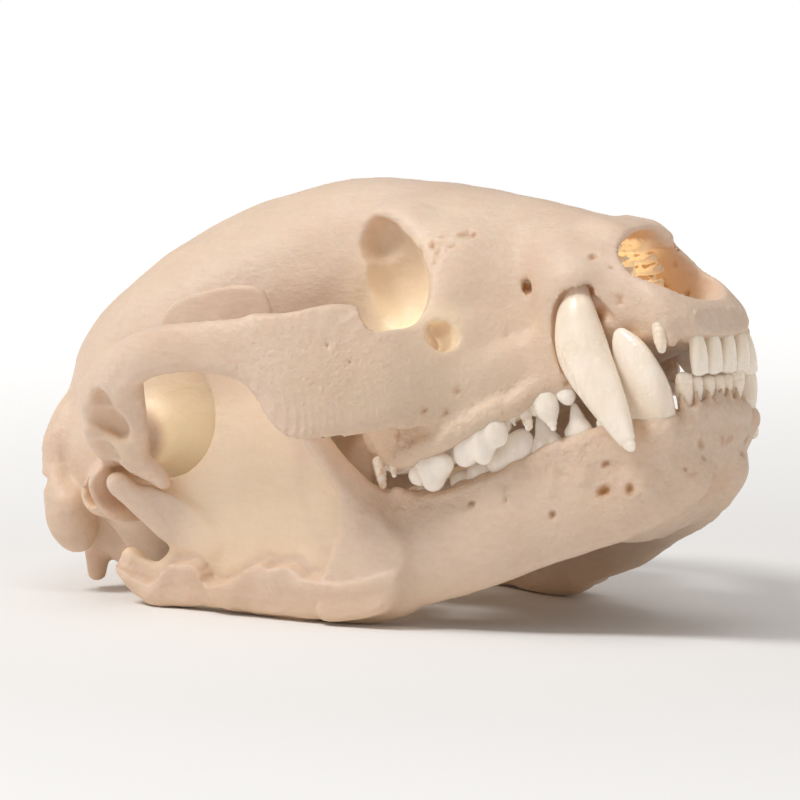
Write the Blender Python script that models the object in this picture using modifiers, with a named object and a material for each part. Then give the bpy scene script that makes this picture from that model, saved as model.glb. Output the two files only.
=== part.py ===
"""Raccoon skull, cleaned and dried, resting on the lower borders of its jaw.

Metres, +Z up.  +X runs to the nose, the animal's right side is -Y.  The origin is
on the resting surface, under the middle of the skull's outer box.

All shapes are laid out in the skull's own frame, in millimetres:
    a  along the palate, 0 at the front of the incisor sockets, negative backwards
    l  sideways from the midline, positive to the animal's right
    h  up, square to the palate
and turned nose-up by PITCH, because the jaw's lower border slopes.
"""
import bpy
import bmesh
import math
from mathutils import Vector

# ---------------------------------------------------------------- driving sizes
MM = 0.001
PITCH = math.radians(20.0)     # nose-up angle of the palate when the jaw lies flat
X_FRONT = 58.34                # world x of the front of the incisor sockets
Z_FRONT = 41.52                # world z of the same point
GAP = 0.35                     # clearance between a tooth and its socket
SNOUT_SLIM = 0.19              # how far the snout narrows between the cheeks and the canines
VOXEL = 1.05                   # fineness of the bone's fused surface
CRANIUM_TRIS = 3150
MANDIBLE_TRIS = 1400
RING = 20                      # points round a section
FLOOR_FLAT = 0.0               # height of the small worn flats under the jaw

CP, SP = math.cos(PITCH), math.sin(PITCH)


def ease(x, lo, hi):
    t = min(max((x - lo) / (hi - lo), 0.0), 1.0)
    return t * t * (3 - 2 * t)


def slim(a, l, h):
    """The snout draws in from the cheeks forward, and its sides slope back as it does."""
    s = SNOUT_SLIM * ease(-a, 1.5, 8.5) * (1 - ease(-a, 17.0, 38.0))
    m = s * (math.sqrt(l * l + 0.25) - 0.5)
    return a - 0.913 * m, l - s * l, h + 0.219 * m


def world(a, l, h):
    a, l, h = slim(a, l, h)
    return Vector(((X_FRONT + a * CP - h * SP) * MM, -l * MM,
                   (Z_FRONT + a * SP + h * CP) * MM))


# ---------------------------------------------------------------- start clean
for ob in list(bpy.data.objects):
    bpy.data.objects.remove(ob, do_unlink=True)

PART = bpy.data.collections.new("raccoon_skull")
TOOLS = bpy.data.collections.new("cutters")
bpy.context.scene.collection.children.link(PART)
bpy.context.scene.collection.children.link(TOOLS)


def material(name, rgb, rough):
    mat = bpy.data.materials.new(name)
    mat.use_nodes = True
    node = mat.node_tree.nodes["Principled BSDF"]
    node.inputs["Base Color"].default_value = (*rgb, 1.0)
    node.inputs["Roughness"].default_value = rough
    node.inputs["Metallic"].default_value = 0.0
    mat.diffuse_color = (*rgb, 1.0)
    return mat


BONE = material("bone_cranium", (0.80, 0.63, 0.50), 0.55)
JAW = material("bone_mandible", (0.80, 0.64, 0.51), 0.55)
TOOTH = material("tooth_enamel", (0.88, 0.84, 0.77), 0.25)

ROOT = bpy.data.objects.new("skull_root", None)
PART.objects.link(ROOT)


# ---------------------------------------------------------------- curve reading
def smooth(table, x, k):
    """Column k of a table at x, on a smooth curve through its rows (rows run down)."""
    n = len(table)
    if x >= table[0][0]:
        return table[0][k]
    if x <= table[-1][0]:
        return table[-1][k]
    i = 0
    while not (table[i][0] >= x >= table[i + 1][0]):
        i += 1
    x0, x1 = table[i][0], table[i + 1][0]
    y0, y1 = table[i][k], table[i + 1][k]
    d = (y1 - y0) / (x1 - x0)
    m0 = d if i == 0 else 0.5 * (d + (y0 - table[i - 1][k]) / (x0 - table[i - 1][0]))
    m1 = d if i == n - 2 else 0.5 * (d + (table[i + 2][k] - y1) / (table[i + 2][0] - x1))
    t = (x - x0) / (x1 - x0)
    s = x1 - x0
    return ((2 * t**3 - 3 * t**2 + 1) * y0 + (t**3 - 2 * t**2 + t) * s * m0
            + (-2 * t**3 + 3 * t**2) * y1 + (t**3 - t**2) * s * m1)


def resample(nodes, step):
    """Nodes of a swept piece, made denser on a smooth curve through them."""
    out = []
    n = len(nodes)
    for i in range(n - 1):
        p0 = nodes[max(i - 1, 0)]
        p1, p2 = nodes[i], nodes[i + 1]
        p3 = nodes[min(i + 2, n - 1)]
        length = math.dist(p1[:3], p2[:3])
        cuts = max(1, int(round(length / step)))
        for c in range(cuts):
            t = c / cuts
            out.append(tuple(
                0.5 * (2 * b + (c_ - a) * t + (2 * a - 5 * b + 4 * c_ - d) * t * t
                       + (-a + 3 * b - 3 * c_ + d) * t**3)
                for a, b, c_, d in zip(p0, p1, p2, p3)))
    out.append(tuple(nodes[-1]))
    return out


# ---------------------------------------------------------------- solids
def skin(bm, rings, flip=False):
    """Closed loft through rings of equal point count, in skull coordinates."""
    rows = [[bm.verts.new(world(*p)) for p in ring] for ring in rings]
    n = len(rows[0])
    faces = []
    for r0, r1 in zip(rows, rows[1:]):
        for i in range(n):
            j = (i + 1) % n
            faces.append(bm.faces.new((r0[i], r0[j], r1[j], r1[i])))
    for row, p in ((rows[0], 0), (rows[-1], -1)):
        c = bm.verts.new(sum((v.co for v in row), Vector()) / n)
        for i in range(n):
            j = (i + 1) % n
            faces.append(bm.faces.new((row[j], row[i], c) if p == 0 else (row[i], row[j], c)))
    bmesh.ops.recalc_face_normals(bm, faces=faces)
    vol = 0.0
    for f in faces:
        v = [x.co for x in f.verts]
        for k in range(1, len(v) - 1):
            vol += v[0].dot(v[k].cross(v[k + 1]))
    if vol < 0:
        bmesh.ops.reverse_faces(bm, faces=faces)


def section_ring(a, w, top, bot, taper, n, grow=0.0, count=RING + 8):
    c, r = 0.5 * (top + bot), 0.5 * (top - bot)
    w, r = w + grow, r + grow
    pts = []
    for k in range(count):
        q = 2 * math.pi * k / count
        u, v = math.cos(q), math.sin(q)
        x = math.copysign(abs(u) ** (2 / n), u)
        y = math.copysign(abs(v) ** (2 / n), v)
        pts.append((a, w * x * (1 - taper * y), c + r * y))
    return pts


def midline_loft(bm, table, step=2.0, grow=0.0):
    a0, a1 = table[0][0], table[-1][0]
    count = max(2, int(abs(a1 - a0) / step))
    rings = []
    for k in range(count + 1):
        a = a0 + (a1 - a0) * k / count
        rings.append(section_ring(a, *[smooth(table, a, j) for j in range(1, 6)], grow=grow))
    skin(bm, rings)


def sweep(bm, nodes, side=1, step=2.0, count=14, upright=True):
    """Swept oval: nodes (a, l, h, half height, half thickness)."""
    pts = resample(nodes, step)
    rings = []
    for i, p in enumerate(pts):
        q0, q1 = pts[max(i - 1, 0)], pts[min(i + 1, len(pts) - 1)]
        t = Vector((q1[0] - q0[0], q1[1] - q0[1], q1[2] - q0[2])).normalized()
        up = Vector((0, 0, 1)) if upright else Vector((1, 0, 0))
        nrm = t.cross(up).normalized()
        up = nrm.cross(t).normalized()
        ring = []
        for k in range(count):
            q = 2 * math.pi * k / count
            d = up * (p[3] * math.cos(q)) + nrm * (p[4] * math.sin(q))
            ring.append((p[0] + d.x, side * (p[1] + d.y), p[2] + d.z))
        rings.append(ring)
    # close the ends with small rounded caps
    for end, sign in ((0, -1), (-1, 1)):
        p = pts[end]
        q0, q1 = (pts[0], pts[1]) if end == 0 else (pts[-2], pts[-1])
        t = Vector((q1[0] - q0[0], q1[1] - q0[1], q1[2] - q0[2])).normalized() * sign
        ring = rings[end]
        r = min(p[3], p[4])
        cap = []
        for x in ring:
            cap.append((p[0] + (x[0] - p[0]) * 0.6 + t.x * r * 0.75,
                        side * p[1] + (x[1] - side * p[1]) * 0.6 + side * t.y * r * 0.75,
                        p[2] + (x[2] - p[2]) * 0.6 + t.z * r * 0.75))
        if end == 0:
            rings.insert(0, cap)
        else:
            rings.append(cap)
    skin(bm, rings)


def ball(bm, a, l, h, ra, rl, rh, side=1, seg=16):
    rows = seg // 2
    made = bmesh.ops.create_uvsphere(bm, u_segments=seg, v_segments=rows, radius=1.0)
    for v in made["verts"]:
        c = v.co
        v.co = world(a + c.x * ra, side * (l + c.y * rl), h + c.z * rh)
    faces = list({f for v in made["verts"] for f in v.link_faces})
    bmesh.ops.recalc_face_normals(bm, faces=faces)
    vol = sum(f.verts[0].co.dot(f.verts[k].co.cross(f.verts[k + 1].co))
              for f in faces for k in range(1, len(f.verts) - 1))
    if vol < 0:
        bmesh.ops.reverse_faces(bm, faces=faces)


def finish(bm, name, collection, mat=None, cutter=False):
    mesh = bpy.data.meshes.new(name)
    bm.to_mesh(mesh)
    bm.free()
    ob = bpy.data.objects.new(name, mesh)
    collection.objects.link(ob)
    if mat:
        mesh.materials.append(mat)
    if cutter:
        ob.hide_render = True
        ob.display_type = "WIRE"
    else:
        ob.parent = ROOT
    return ob


def cutter(name, build):
    bm = bmesh.new()
    build(bm)
    return finish(bm, name, TOOLS, cutter=True)


# ---------------------------------------------------------------- cranium tables
# a, half width, top, bottom, taper (narrower above), squareness
CORE = [
    (0.2, 5.6, 3.6, -0.2, 0.00, 2.6),
    (-1.2, 7.6, 6.2, -0.4, 0.05, 2.6),
    (-3.2, 9.3, 9.8, -0.4, 0.06, 2.6),
    (-5.5, 9.9, 14.2, -0.2, 0.08, 2.6),
    (-7.8, 10.4, 17.8, 0.2, 0.12, 2.6),
    (-10.5, 11.6, 19.6, 0.2, 0.16, 2.6),
    (-14.2, 12.8, 21.5, 0.0, 0.18, 2.6),
    (-18.0, 13.0, 23.6, 0.0, 0.20, 2.5),
    (-21.6, 13.0, 25.6, 0.0, 0.20, 2.5),
    (-26.0, 13.3, 28.1, 0.4, 0.18, 2.5),
    (-30.0, 13.5, 30.2, 0.5, 0.12, 2.5),
    (-35.0, 13.2, 32.8, 0.5, 0.05, 2.5),
    (-40.0, 12.8, 35.2, 0.5, -0.05, 2.4),
    (-45.4, 12.6, 37.4, 0.5, -0.08, 2.3),
    (-50.0, 12.4, 39.3, 1.0, -0.08, 2.2),
    (-54.0, 12.3, 40.8, 2.0, -0.05, 2.2),
    (-60.0, 13.2, 42.4, 3.0, 0.00, 2.15),
    (-66.0, 16.4, 43.3, 3.5, 0.00, 2.1),
    (-72.0, 19.8, 43.8, 3.5, 0.00, 2.1),
    (-80.0, 23.0, 43.5, 3.2, 0.02, 2.15),
    (-88.0, 24.7, 42.4, 3.2, 0.03, 2.2),
    (-96.0, 24.6, 40.7, 3.5, 0.03, 2.25),
    (-102.0, 23.2, 39.3, 4.0, 0.03, 2.3),
    (-106.0, 21.0, 38.0, 5.0, 0.03, 2.4),
    (-109.5, 16.0, 35.8, 8.0, 0.02, 2.4),
]
NASAL = [   # air passage of the nose
    (4.0, 6.9, 30.0, 5.4, 0.00, 2.6),
    (-4.0, 6.9, 28.0, 5.0, 0.00, 2.6),
    (-7.4, 7.0, 18.6, 4.8, 0.06, 2.5),
    (-10.0, 7.2, 17.6, 4.6, 0.10, 2.4),
    (-14.0, 7.6, 19.2, 4.6, 0.12, 2.3),
    (-20.0, 7.4, 22.0, 5.0, 0.12, 2.2),
    (-27.0, 6.0, 24.0, 7.0, 0.10, 2.2),
    (-30.0, 3.5, 20.0, 10.0, 0.00, 2.2),
]
ARCH = [    # a, l, h, half height, half thickness
    (-24.0, 11.5, 6.0, 5.5, 3.0),
    (-29.0, 15.6, 6.2, 6.8, 3.6),
    (-33.5, 20.6, 6.0, 8.0, 3.6),
    (-38.0, 25.6, 7.4, 9.0, 3.0),
    (-42.0, 28.9, 9.2, 10.0, 2.6),
    (-46.0, 31.6, 11.0, 11.2, 2.3),
    (-50.0, 33.6, 14.2, 8.2, 2.1),
    (-54.0, 35.1, 16.4, 5.0, 2.0),
    (-59.0, 36.4, 18.4, 4.0, 2.0),
    (-65.0, 37.3, 20.2, 3.6, 2.0),
    (-71.0, 37.7, 20.9, 3.7, 2.2),
    (-77.0, 37.5, 19.9, 4.5, 2.5),
    (-82.0, 36.3, 17.8, 5.4, 3.0),
    (-85.8, 33.6, 15.2, 5.6, 3.8),
    (-87.2, 29.5, 14.0, 5.2, 4.4),
    (-87.8, 24.5, 14.0, 5.0, 4.6),
    (-88.0, 18.5, 15.0, 5.4, 5.0),
]
ALVEOLAR = [
    (-17.0, 12.6, 3.0, 4.2, 3.0),
    (-22.0, 13.6, 2.6, 4.2, 3.0),
    (-27.0, 15.0, 1.8, 4.4, 3.3),
    (-33.0, 16.8, 1.2, 4.8, 3.8),
    (-39.0, 17.8, 0.6, 4.8, 4.0),
    (-45.0, 17.4, 0.8, 4.4, 3.8),
    (-49.5, 16.0, 2.0, 3.6, 3.2),
    (-52.5, 13.5, 3.4, 3.0, 2.6),
]
PTERYGOID = [
    (-50.0, 11.5, 3.6, 3.2, 2.4),
    (-57.0, 8.2, 2.4, 4.2, 1.5),
    (-65.0, 6.8, 1.6, 4.6, 1.25),
    (-73.0, 6.4, 1.6, 4.2, 1.2),
    (-80.0, 6.6, 2.2, 3.4, 1.4),
]
NUCHAL = [
    (-110.6, 0.0, 36.2, 1.5, 1.6),
    (-108.6, 7.0, 33.2, 1.5, 1.6),
    (-106.8, 13.0, 29.4, 1.5, 1.7),
    (-105.6, 18.0, 25.6, 1.6, 1.8),
    (-106.0, 22.0, 22.2, 1.7, 1.9),
    (-107.6, 24.2, 18.6, 1.8, 2.0),
    (-108.6, 25.2, 15.0, 1.8, 2.0),
    (-107.4, 26.0, 11.0, 2.0, 2.2),
]


def cranium_shell(bm):
    midline_loft(bm, CORE, 2.0)
    # palate and skull base in the midline
    midline_loft(bm, [(-3.0, 8.0, 3.6, 0.2, 0, 3.0), (-12.0, 11.0, 3.4, 0.6, 0, 3.0),
                      (-30.0, 14.0, 3.4, 0.8, 0, 3.0), (-45.0, 14.5, 3.6, 1.0, 0, 3.0),
                      (-54.0, 10.0, 4.0, 1.2, 0, 3.0), (-64.0, 6.5, 4.0, 1.6, 0, 3.0)], 3.0)
    midline_loft(bm, [(-62.0, 6.0, 9.0, 5.6, 0, 2.6), (-80.0, 6.5, 8.0, 3.2, 0, 2.6),
                      (-95.0, 8.0, 7.0, 1.6, 0, 2.6), (-107.0, 9.5, 6.0, 1.8, 0, 2.6)], 3.0)
    for s in (1, -1):
        sweep(bm, ARCH, s)
        sweep(bm, ALVEOLAR, s)
        sweep(bm, PTERYGOID, s)
        sweep(bm, NUCHAL, s, upright=False)
        # ridge behind the eye tooth and swelling over its root
        sweep(bm, [(-14.5, 10.8, 12.5, 2.6, 2.4), (-17.6, 12.4, 7.0, 2.8, 2.6),
                   (-18.2, 13.4, 1.6, 2.6, 2.4)], s, upright=False)
        ball(bm, -46.4, 12.8, 33.0, 5.0, 3.6, 2.6, s)          # postorbital process
        ball(bm, -93.4, 24.2, 7.6, 2.3, 7.0, 6.0, s)           # postglenoid process
        ball(bm, -83.0, 30.2, 8.6, 2.6, 4.0, 4.4, s)           # lip before the jaw joint
        ball(bm, -97.5, 15.0, 3.2, 11.0, 7.4, 7.4, s)          # ear bulla
        sweep(bm, [(-96.5, 17.0, 4.0, 4.4, 4.4), (-97.6, 22.0, 6.4, 4.1, 4.1),
                   (-98.0, 26.6, 7.6, 3.7, 3.7)], s)           # ear tube
        ball(bm, -104.8, 25.6, 7.0, 5.2, 4.2, 6.4, s)          # mastoid process
        ball(bm, -99.5, 18.5, 14.0, 9.0, 8.0, 10.0, s)         # wall over the ear
        ball(bm, -109.2, 8.6, 7.4, 4.6, 4.3, 5.8, s)           # occipital condyle
        sweep(bm, [(-105.0, 18.0, 6.5, 3.6, 3.6), (-108.2, 19.4, 3.0, 2.5, 2.5),
                   (-109.4, 20.0, -0.8, 1.7, 1.7)], s, upright=False)  # paroccipital process


def cranium_cuts():
    def nose(bm):
        midline_loft(bm, NASAL, 1.5)

    def orbit(side):
        return lambda bm: ball(bm, -43.2, 20.8, 21.6, 9.2, 10.6, 10.0, side, 20)

    def canal(side):
        return lambda bm: sweep(bm, [(-23.0, 23.5, 10.6, 2.3, 2.3), (-31.5, 20.0, 10.4, 2.2, 2.2),
                                     (-38.0, 18.8, 12.4, 2.4, 2.4), (-42.0, 19.0, 15.0, 2.6, 2.6)],
                                side, 3.0, 10)

    def fossa(side):   # hollow that the jaw's condyle turns in
        return lambda bm: sweep(bm, [(-88.3, 18.0, 4.9, 3.45, 3.45), (-88.3, 36.0, 6.0, 3.45, 3.45)],
                                side, 6.0, 16)

    def ear(side):
        return lambda bm: sweep(bm, [(-98.2, 32.0, 8.6, 2.3, 2.3), (-97.6, 22.0, 6.2, 2.2, 2.2),
                                     (-97.2, 18.5, 4.6, 2.2, 2.2)], side, 3.0, 10)

    def throat(bm):
        midline_loft(bm, [(-52.0, 3.0, 10.5, 5.0, 0, 2.2), (-60.0, 4.6, 10.5, 3.6, 0, 2.3),
                          (-70.0, 4.9, 6.4, -6.0, 0, 2.6), (-84.0, 4.6, 4.0, -8.0, 0, 2.6)], 3.0)

    def foramen(bm):
        midline_loft(bm, [(-90.0, 4.0, 13.0, 7.0, 0, 2.2), (-93.0, 7.4, 15.6, 5.2, 0, 2.2),
                          (-103.0, 7.8, 16.0, 4.4, 0, 2.2), (-118.0, 7.4, 14.8, 3.2, 0, 2.2)], 3.0)

    made = [cutter("cut_nose", nose), cutter("cut_throat", throat), cutter("cut_braincase", foramen)]
    for side, tag in ((1, "right"), (-1, "left")):
        made.append(cutter("cut_orbit_" + tag, orbit(side)))
        made.append(cutter("cut_infraorbital_" + tag, canal(side)))
        made.append(cutter("cut_glenoid_" + tag, fossa(side)))
        made.append(cutter("cut_ear_" + tag, ear(side)))
    return made


# ---------------------------------------------------------------- mandible tables
BODY = [    # a, l, h, half height, half thickness
    (-9.0, 5.0, -14.6, 6.4, 4.2),
    (-13.0, 7.4, -15.4, 7.2, 4.4),
    (-18.0, 9.7, -15.8, 7.7, 4.3),
    (-24.0, 11.8, -16.0, 7.6, 4.0),
    (-32.0, 14.2, -16.3, 7.3, 3.8),
    (-40.0, 16.4, -16.4, 7.3, 3.6),
    (-48.0, 18.5, -16.0, 7.6, 3.3),
    (-56.0, 20.4, -14.6, 8.7, 3.0),
    (-62.0, 22.0, -12.4, 9.0, 2.4),
]
SYMPHYSIS = [
    (-4.2, 5.0, -8.2, -11.5, 0.00, 2.5),
    (-6.0, 8.4, -8.2, -15.0, 0.05, 2.5),
    (-8.2, 10.6, -8.6, -18.2, 0.10, 2.5),
    (-11.0, 11.6, -8.9, -20.7, 0.14, 2.5),
    (-15.0, 11.8, -9.4, -22.4, 0.14, 2.4),
    (-19.0, 11.4, -11.5, -23.2, 0.10, 2.3),
    (-23.0, 9.5, -14.5, -23.2, 0.05, 2.2),
    (-25.0, 6.0, -17.5, -22.0, 0.00, 2.2),
]
RAMUS_OUTLINE = [   # a, h round the thin rising plate of the jaw
    (-49.0, -9.0), (-52.5, -4.0), (-54.6, 2.0), (-55.8, 9.0), (-56.6, 16.0), (-57.6, 22.0),
    (-59.6, 26.6), (-63.2, 29.6), (-68.0, 30.8), (-73.0, 30.2), (-75.8, 27.6), (-75.2, 24.4),
    (-72.4, 20.4), (-70.6, 16.0), (-70.8, 12.0), (-73.0, 8.4), (-77.0, 6.2), (-82.0, 5.6),
    (-86.0, 6.6), (-89.6, 5.6), (-90.0, 2.6), (-88.0, 0.0), (-86.2, -2.2), (-86.4, -3.8),
    (-89.2, -4.8), (-92.0, -3.6), (-94.4, -1.8), (-95.8, -2.8), (-95.2, -6.0), (-92.6, -9.4),
    (-89.0, -11.2), (-83.0, -12.8), (-77.0, -15.2), (-70.0, -18.0), (-62.0, -21.0),
    (-57.0, -22.6), (-50.0, -22.4), (-46.0, -16.0),
]
RAMUS_HALF = 1.15


def ramus_side(a, h):
    """Sideways place of the plate's middle."""
    t = min(max((-46.0 - a) / 30.0, 0.0), 1.0)
    l = 18.4 + 7.2 * (1 - (1 - t) ** 2)
    if a < -76.0:
        l += 0.9 * min((-76.0 - a) / 12.0, 1.0)
    return l + 0.05 * max(h, 0.0)


def ramus_plate(bm, side):
    """Flat outline given its thickness, then set on the jaw's sideways curve."""
    curve = bpy.data.curves.new("ramus_outline", "CURVE")
    curve.dimensions = "2D"
    curve.fill_mode = "BOTH"
    curve.extrude = RAMUS_HALF * MM
    spline = curve.splines.new("POLY")
    spline.points.add(len(RAMUS_OUTLINE) - 1)
    for p, (a, h) in zip(spline.points, RAMUS_OUTLINE):
        p.co = (a * MM, h * MM, 0.0, 1.0)
    spline.use_cyclic_u = True
    ob = bpy.data.objects.new("ramus_outline", curve)
    TOOLS.objects.link(ob)
    bpy.context.view_layer.update()
    mesh = bpy.data.meshes.new_from_object(ob.evaluated_get(bpy.context.evaluated_depsgraph_get()))
    bpy.data.objects.remove(ob, do_unlink=True)
    part = bmesh.new()
    part.from_mesh(mesh)
    bmesh.ops.remove_doubles(part, verts=part.verts, dist=1e-6)
    bmesh.ops.triangulate(part, faces=part.faces)
    for v in part.verts:
        a, h, k = v.co.x / MM, v.co.y / MM, v.co.z / MM
        v.co = world(a, side * (ramus_side(a, h) + k), h)
    bmesh.ops.recalc_face_normals(part, faces=part.faces)
    if part.calc_volume(signed=True) < 0:
        bmesh.ops.reverse_faces(part, faces=part.faces)
    part.to_mesh(mesh)
    part.free()
    bm.from_mesh(mesh)


def mandible_shell(bm):
    midline_loft(bm, SYMPHYSIS, 1.6)
    for s in (1, -1):
        sweep(bm, BODY, s)
        ramus_plate(bm, s)
        # alveolar shelf that holds the cheek teeth
        sweep(bm, [(-14.0, 11.0, -11.4, 2.6, 2.6), (-24.0, 12.9, -11.3, 2.6, 2.4),
                   (-34.0, 14.4, -11.9, 2.6, 2.6), (-43.0, 15.6, -11.5, 2.6, 2.6),
                   (-50.0, 17.4, -9.4, 2.6, 2.4)], s)
        sweep(bm, [(-88.3, 21.4, 4.0, 2.5, 2.5), (-88.3, 26.5, 4.8, 2.6, 2.6),
                   (-88.3, 32.2, 5.4, 2.4, 2.4)], s)                       # condyle
        sweep(bm, [(-87.4, 26.0, 3.0, 2.2, 2.2), (-84.5, 26.2, 0.0, 1.9, 1.9),
                   (-82.0, 26.0, -4.0, 1.6, 1.6)], s, upright=False)       # its neck
        sweep(bm, [(-94.2, 26.8, -3.6, 1.7, 1.9), (-92.0, 26.8, -7.4, 2.0, 2.1),
                   (-88.0, 26.4, -10.4, 1.9, 2.2), (-80.0, 25.4, -12.6, 2.0, 2.2),
                   (-70.0, 23.6, -16.4, 2.2, 2.5), (-60.0, 21.0, -20.0, 2.6, 2.8),
                   (-52.0, 19.2, -20.6, 2.6, 2.8)], s)                     # lower rim
        sweep(bm, [(-51.5, 21.0, -6.5, 1.9, 1.9), (-55.0, 23.6, 2.0, 1.7, 1.7),
                   (-57.4, 25.2, 12.0, 1.5, 1.5), (-59.4, 26.4, 22.0, 1.3, 1.3)], s,
              upright=False)                                               # front rim


# ---------------------------------------------------------------- teeth
# Each tooth is a loft through oval rings: a, l, h, half length along the row, half width.
def premolar(a, l, neck, tip, along, across, root, lean=0.0):
    d = 1 if tip > neck else -1
    return [(a, l, neck - d * root, along * 0.55, across * 0.6),
            (a, l, neck - d * 0.4, along * 0.85, across * 0.85),
            (a, l, neck + 0.25 * (tip - neck), along, across),
            (a + lean, l, neck + 0.65 * (tip - neck), along * 0.62, across * 0.6),
            (a + lean, l, tip, along * 0.22, across * 0.25)]


def molar(a, l, neck, top, along, across, root, shift):
    d = 1 if top > neck else -1
    return [(a, l, neck - d * root, along * 0.7, across * 0.62),
            (a, l, neck, along * 0.9, across * 0.88),
            (a, l, neck + 0.35 * (top - neck), along, across),
            (a, l + shift * 0.5, neck + 0.75 * (top - neck), along * 0.92, across * 0.66),
            (a, l + shift, top, along * 0.72, across * 0.34)]


def incisor(a, l, neck, tip_a, tip_l, tip, across, root, back):
    d = 1 if tip > neck else -1
    return [(a + back, l * 0.95, neck - d * root, 0.7, 0.55),
            (a + back * 0.15, l, neck - d * 0.6, 0.95, across * 0.72),
            (a, l, neck + 0.15 * (tip - neck), 1.0, across * 0.85),
            (tip_a + 0.3 * (a - tip_a), tip_l, neck + 0.7 * (tip - neck), 0.75, across),
            (tip_a, tip_l, tip, 0.4, across * 0.95)]


UPPER_CANINE = [(-12.0, 13.0, 10.6, 1.6, 1.3), (-12.5, 13.7, 8.0, 3.0, 2.4),
                (-12.7, 14.2, 4.4, 3.7, 3.0), (-12.4, 14.8, 0.6, 3.8, 3.1),
                (-11.4, 15.2, -4.0, 3.2, 2.7), (-10.2, 15.6, -8.0, 2.4, 2.0),
                (-9.1, 15.8, -11.6, 1.3, 1.1), (-8.6, 15.9, -13.1, 0.5, 0.5)]
LOWER_CANINE = [(-12.5, 8.2, -18.0, 1.8, 1.4), (-9.8, 8.8, -13.6, 2.9, 2.3),
                (-7.7, 9.5, -9.6, 3.4, 2.8), (-7.2, 10.1, -6.0, 3.25, 2.7),
                (-7.1, 10.6, -3.0, 2.95, 2.45), (-7.3, 11.1, 0.0, 2.35, 1.95),
                (-7.6, 11.5, 2.0, 1.5, 1.3), (-7.7, 11.6, 3.0, 0.8, 0.7)]

UPPER = {
    "incisor_1": incisor(-1.1, 1.55, 0.0, -2.0, 1.5, -4.6, 1.28, 4.0, -3.2),
    "incisor_2": incisor(-1.3, 4.6, 0.0, -2.1, 4.5, -4.6, 1.32, 4.0, -3.2),
    "incisor_3": incisor(-3.0, 7.9, 0.2, -3.2, 8.0, -4.8, 1.15, 4.2, -2.6),
    "canine": UPPER_CANINE,
    "premolar_1": premolar(-17.9, 13.9, -0.8, -3.4, 1.1, 0.9, 2.2),
    "premolar_2": premolar(-21.2, 14.7, -1.0, -5.9, 1.9, 1.35, 3.4, 0.3),
    "premolar_3": [(-25.4, 15.8, 1.6, 1.2, 1.0), (-25.4, 15.8, -1.6, 1.7, 1.3),
                   (-25.4, 15.9, -2.8, 1.95, 1.5), (-25.5, 15.9, -4.2, 1.5, 1.1)],
    "premolar_4": molar(-31.4, 17.6, -2.6, -7.2, 3.8, 2.9, 3.6, 1.1),
    "molar_1": molar(-39.5, 18.0, -3.4, -8.2, 3.7, 3.3, 3.8, 1.4),
    "molar_2": molar(-46.6, 17.4, -2.6, -5.2, 2.8, 2.9, 3.2, 0.8),
}
LOWER = {
    "incisor_1": incisor(-5.0, 1.15, -8.1, -3.9, 1.12, -5.2, 0.98, 4.0, -2.4),
    "incisor_2": incisor(-5.3, 3.4, -8.1, -4.1, 3.35, -5.0, 1.05, 4.0, -2.4),
    "incisor_3": incisor(-5.1, 5.5, -8.2, -3.9, 5.75, -4.4, 1.12, 3.6, -2.4),
    "canine": LOWER_CANINE,
    "premolar_1": premolar(-14.6, 11.6, -8.6, -6.9, 0.9, 0.75, 2.0),
    "premolar_2": premolar(-18.5, 12.1, -8.2, -3.9, 1.75, 1.2, 3.4, 0.2),
    "premolar_3": premolar(-23.9, 12.7, -8.5, -3.5, 2.15, 1.35, 3.6, 0.2),
    "premolar_4": premolar(-29.2, 13.4, -9.0, -4.9, 2.6, 1.45, 3.6, 0.3),
    "molar_1": molar(-36.6, 13.8, -9.2, -6.2, 4.1, 1.9, 3.6, -0.5),
    "molar_2": molar(-45.0, 14.9, -8.6, -5.8, 3.6, 1.9, 3.4, -0.5),
}
STUB = [(-4.4, 7.4, 5.0, 0.6, 0.6), (-3.6, 7.7, 2.4, 0.85, 0.9), (-3.2, 7.9, 0.6, 0.75, 0.8),
        (-3.0, 8.0, -0.4, 0.4, 0.45)]


def tooth_rings(rings, side, grow=0.0, count=8, extend=0.0):
    out = []
    n = len(rings)
    for i, (a, l, h, ra, rl) in enumerate(rings):
        q0, q1 = rings[max(i - 1, 0)], rings[min(i + 1, n - 1)]
        t = Vector((q1[0] - q0[0], q1[1] - q0[1], q1[2] - q0[2])).normalized()
        fwd = Vector((1, 0, 0))
        fwd = (fwd - t * fwd.dot(t)).normalized()
        lat = t.cross(fwd).normalized()
        if lat.y < 0:
            lat = -lat
        push = Vector((0, 0, 0))
        if grow and i == 0:
            push = -t * grow
        if extend and i == n - 1:
            push = t * extend
        ring = []
        for k in range(count):
            q = 2 * math.pi * (k + 0.5) / count
            d = fwd * ((ra + grow) * math.cos(q)) + lat * ((rl + grow) * math.sin(q)) + push
            ring.append((a + d.x, side * (l + d.y), h + d.z))
        out.append(ring)
    return out


def make_tooth(name, rings, side, count):
    bm = bmesh.new()
    skin(bm, tooth_rings(rings, side, 0.0, count))
    bmesh.ops.triangulate(bm, faces=bm.faces)
    return finish(bm, name, PART, TOOTH)


def make_socket(name, rings, side, count):
    bm = bmesh.new()
    skin(bm, tooth_rings(rings, side, GAP, count, 1.5))
    bmesh.ops.triangulate(bm, faces=bm.faces)
    return finish(bm, name, SOCKETS[name.split("_")[1]], cutter=True)


SOCKETS = {}
for jaw in ("upper", "lower"):
    SOCKETS[jaw] = bpy.data.collections.new("sockets_" + jaw)
    TOOLS.children.link(SOCKETS[jaw])

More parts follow.
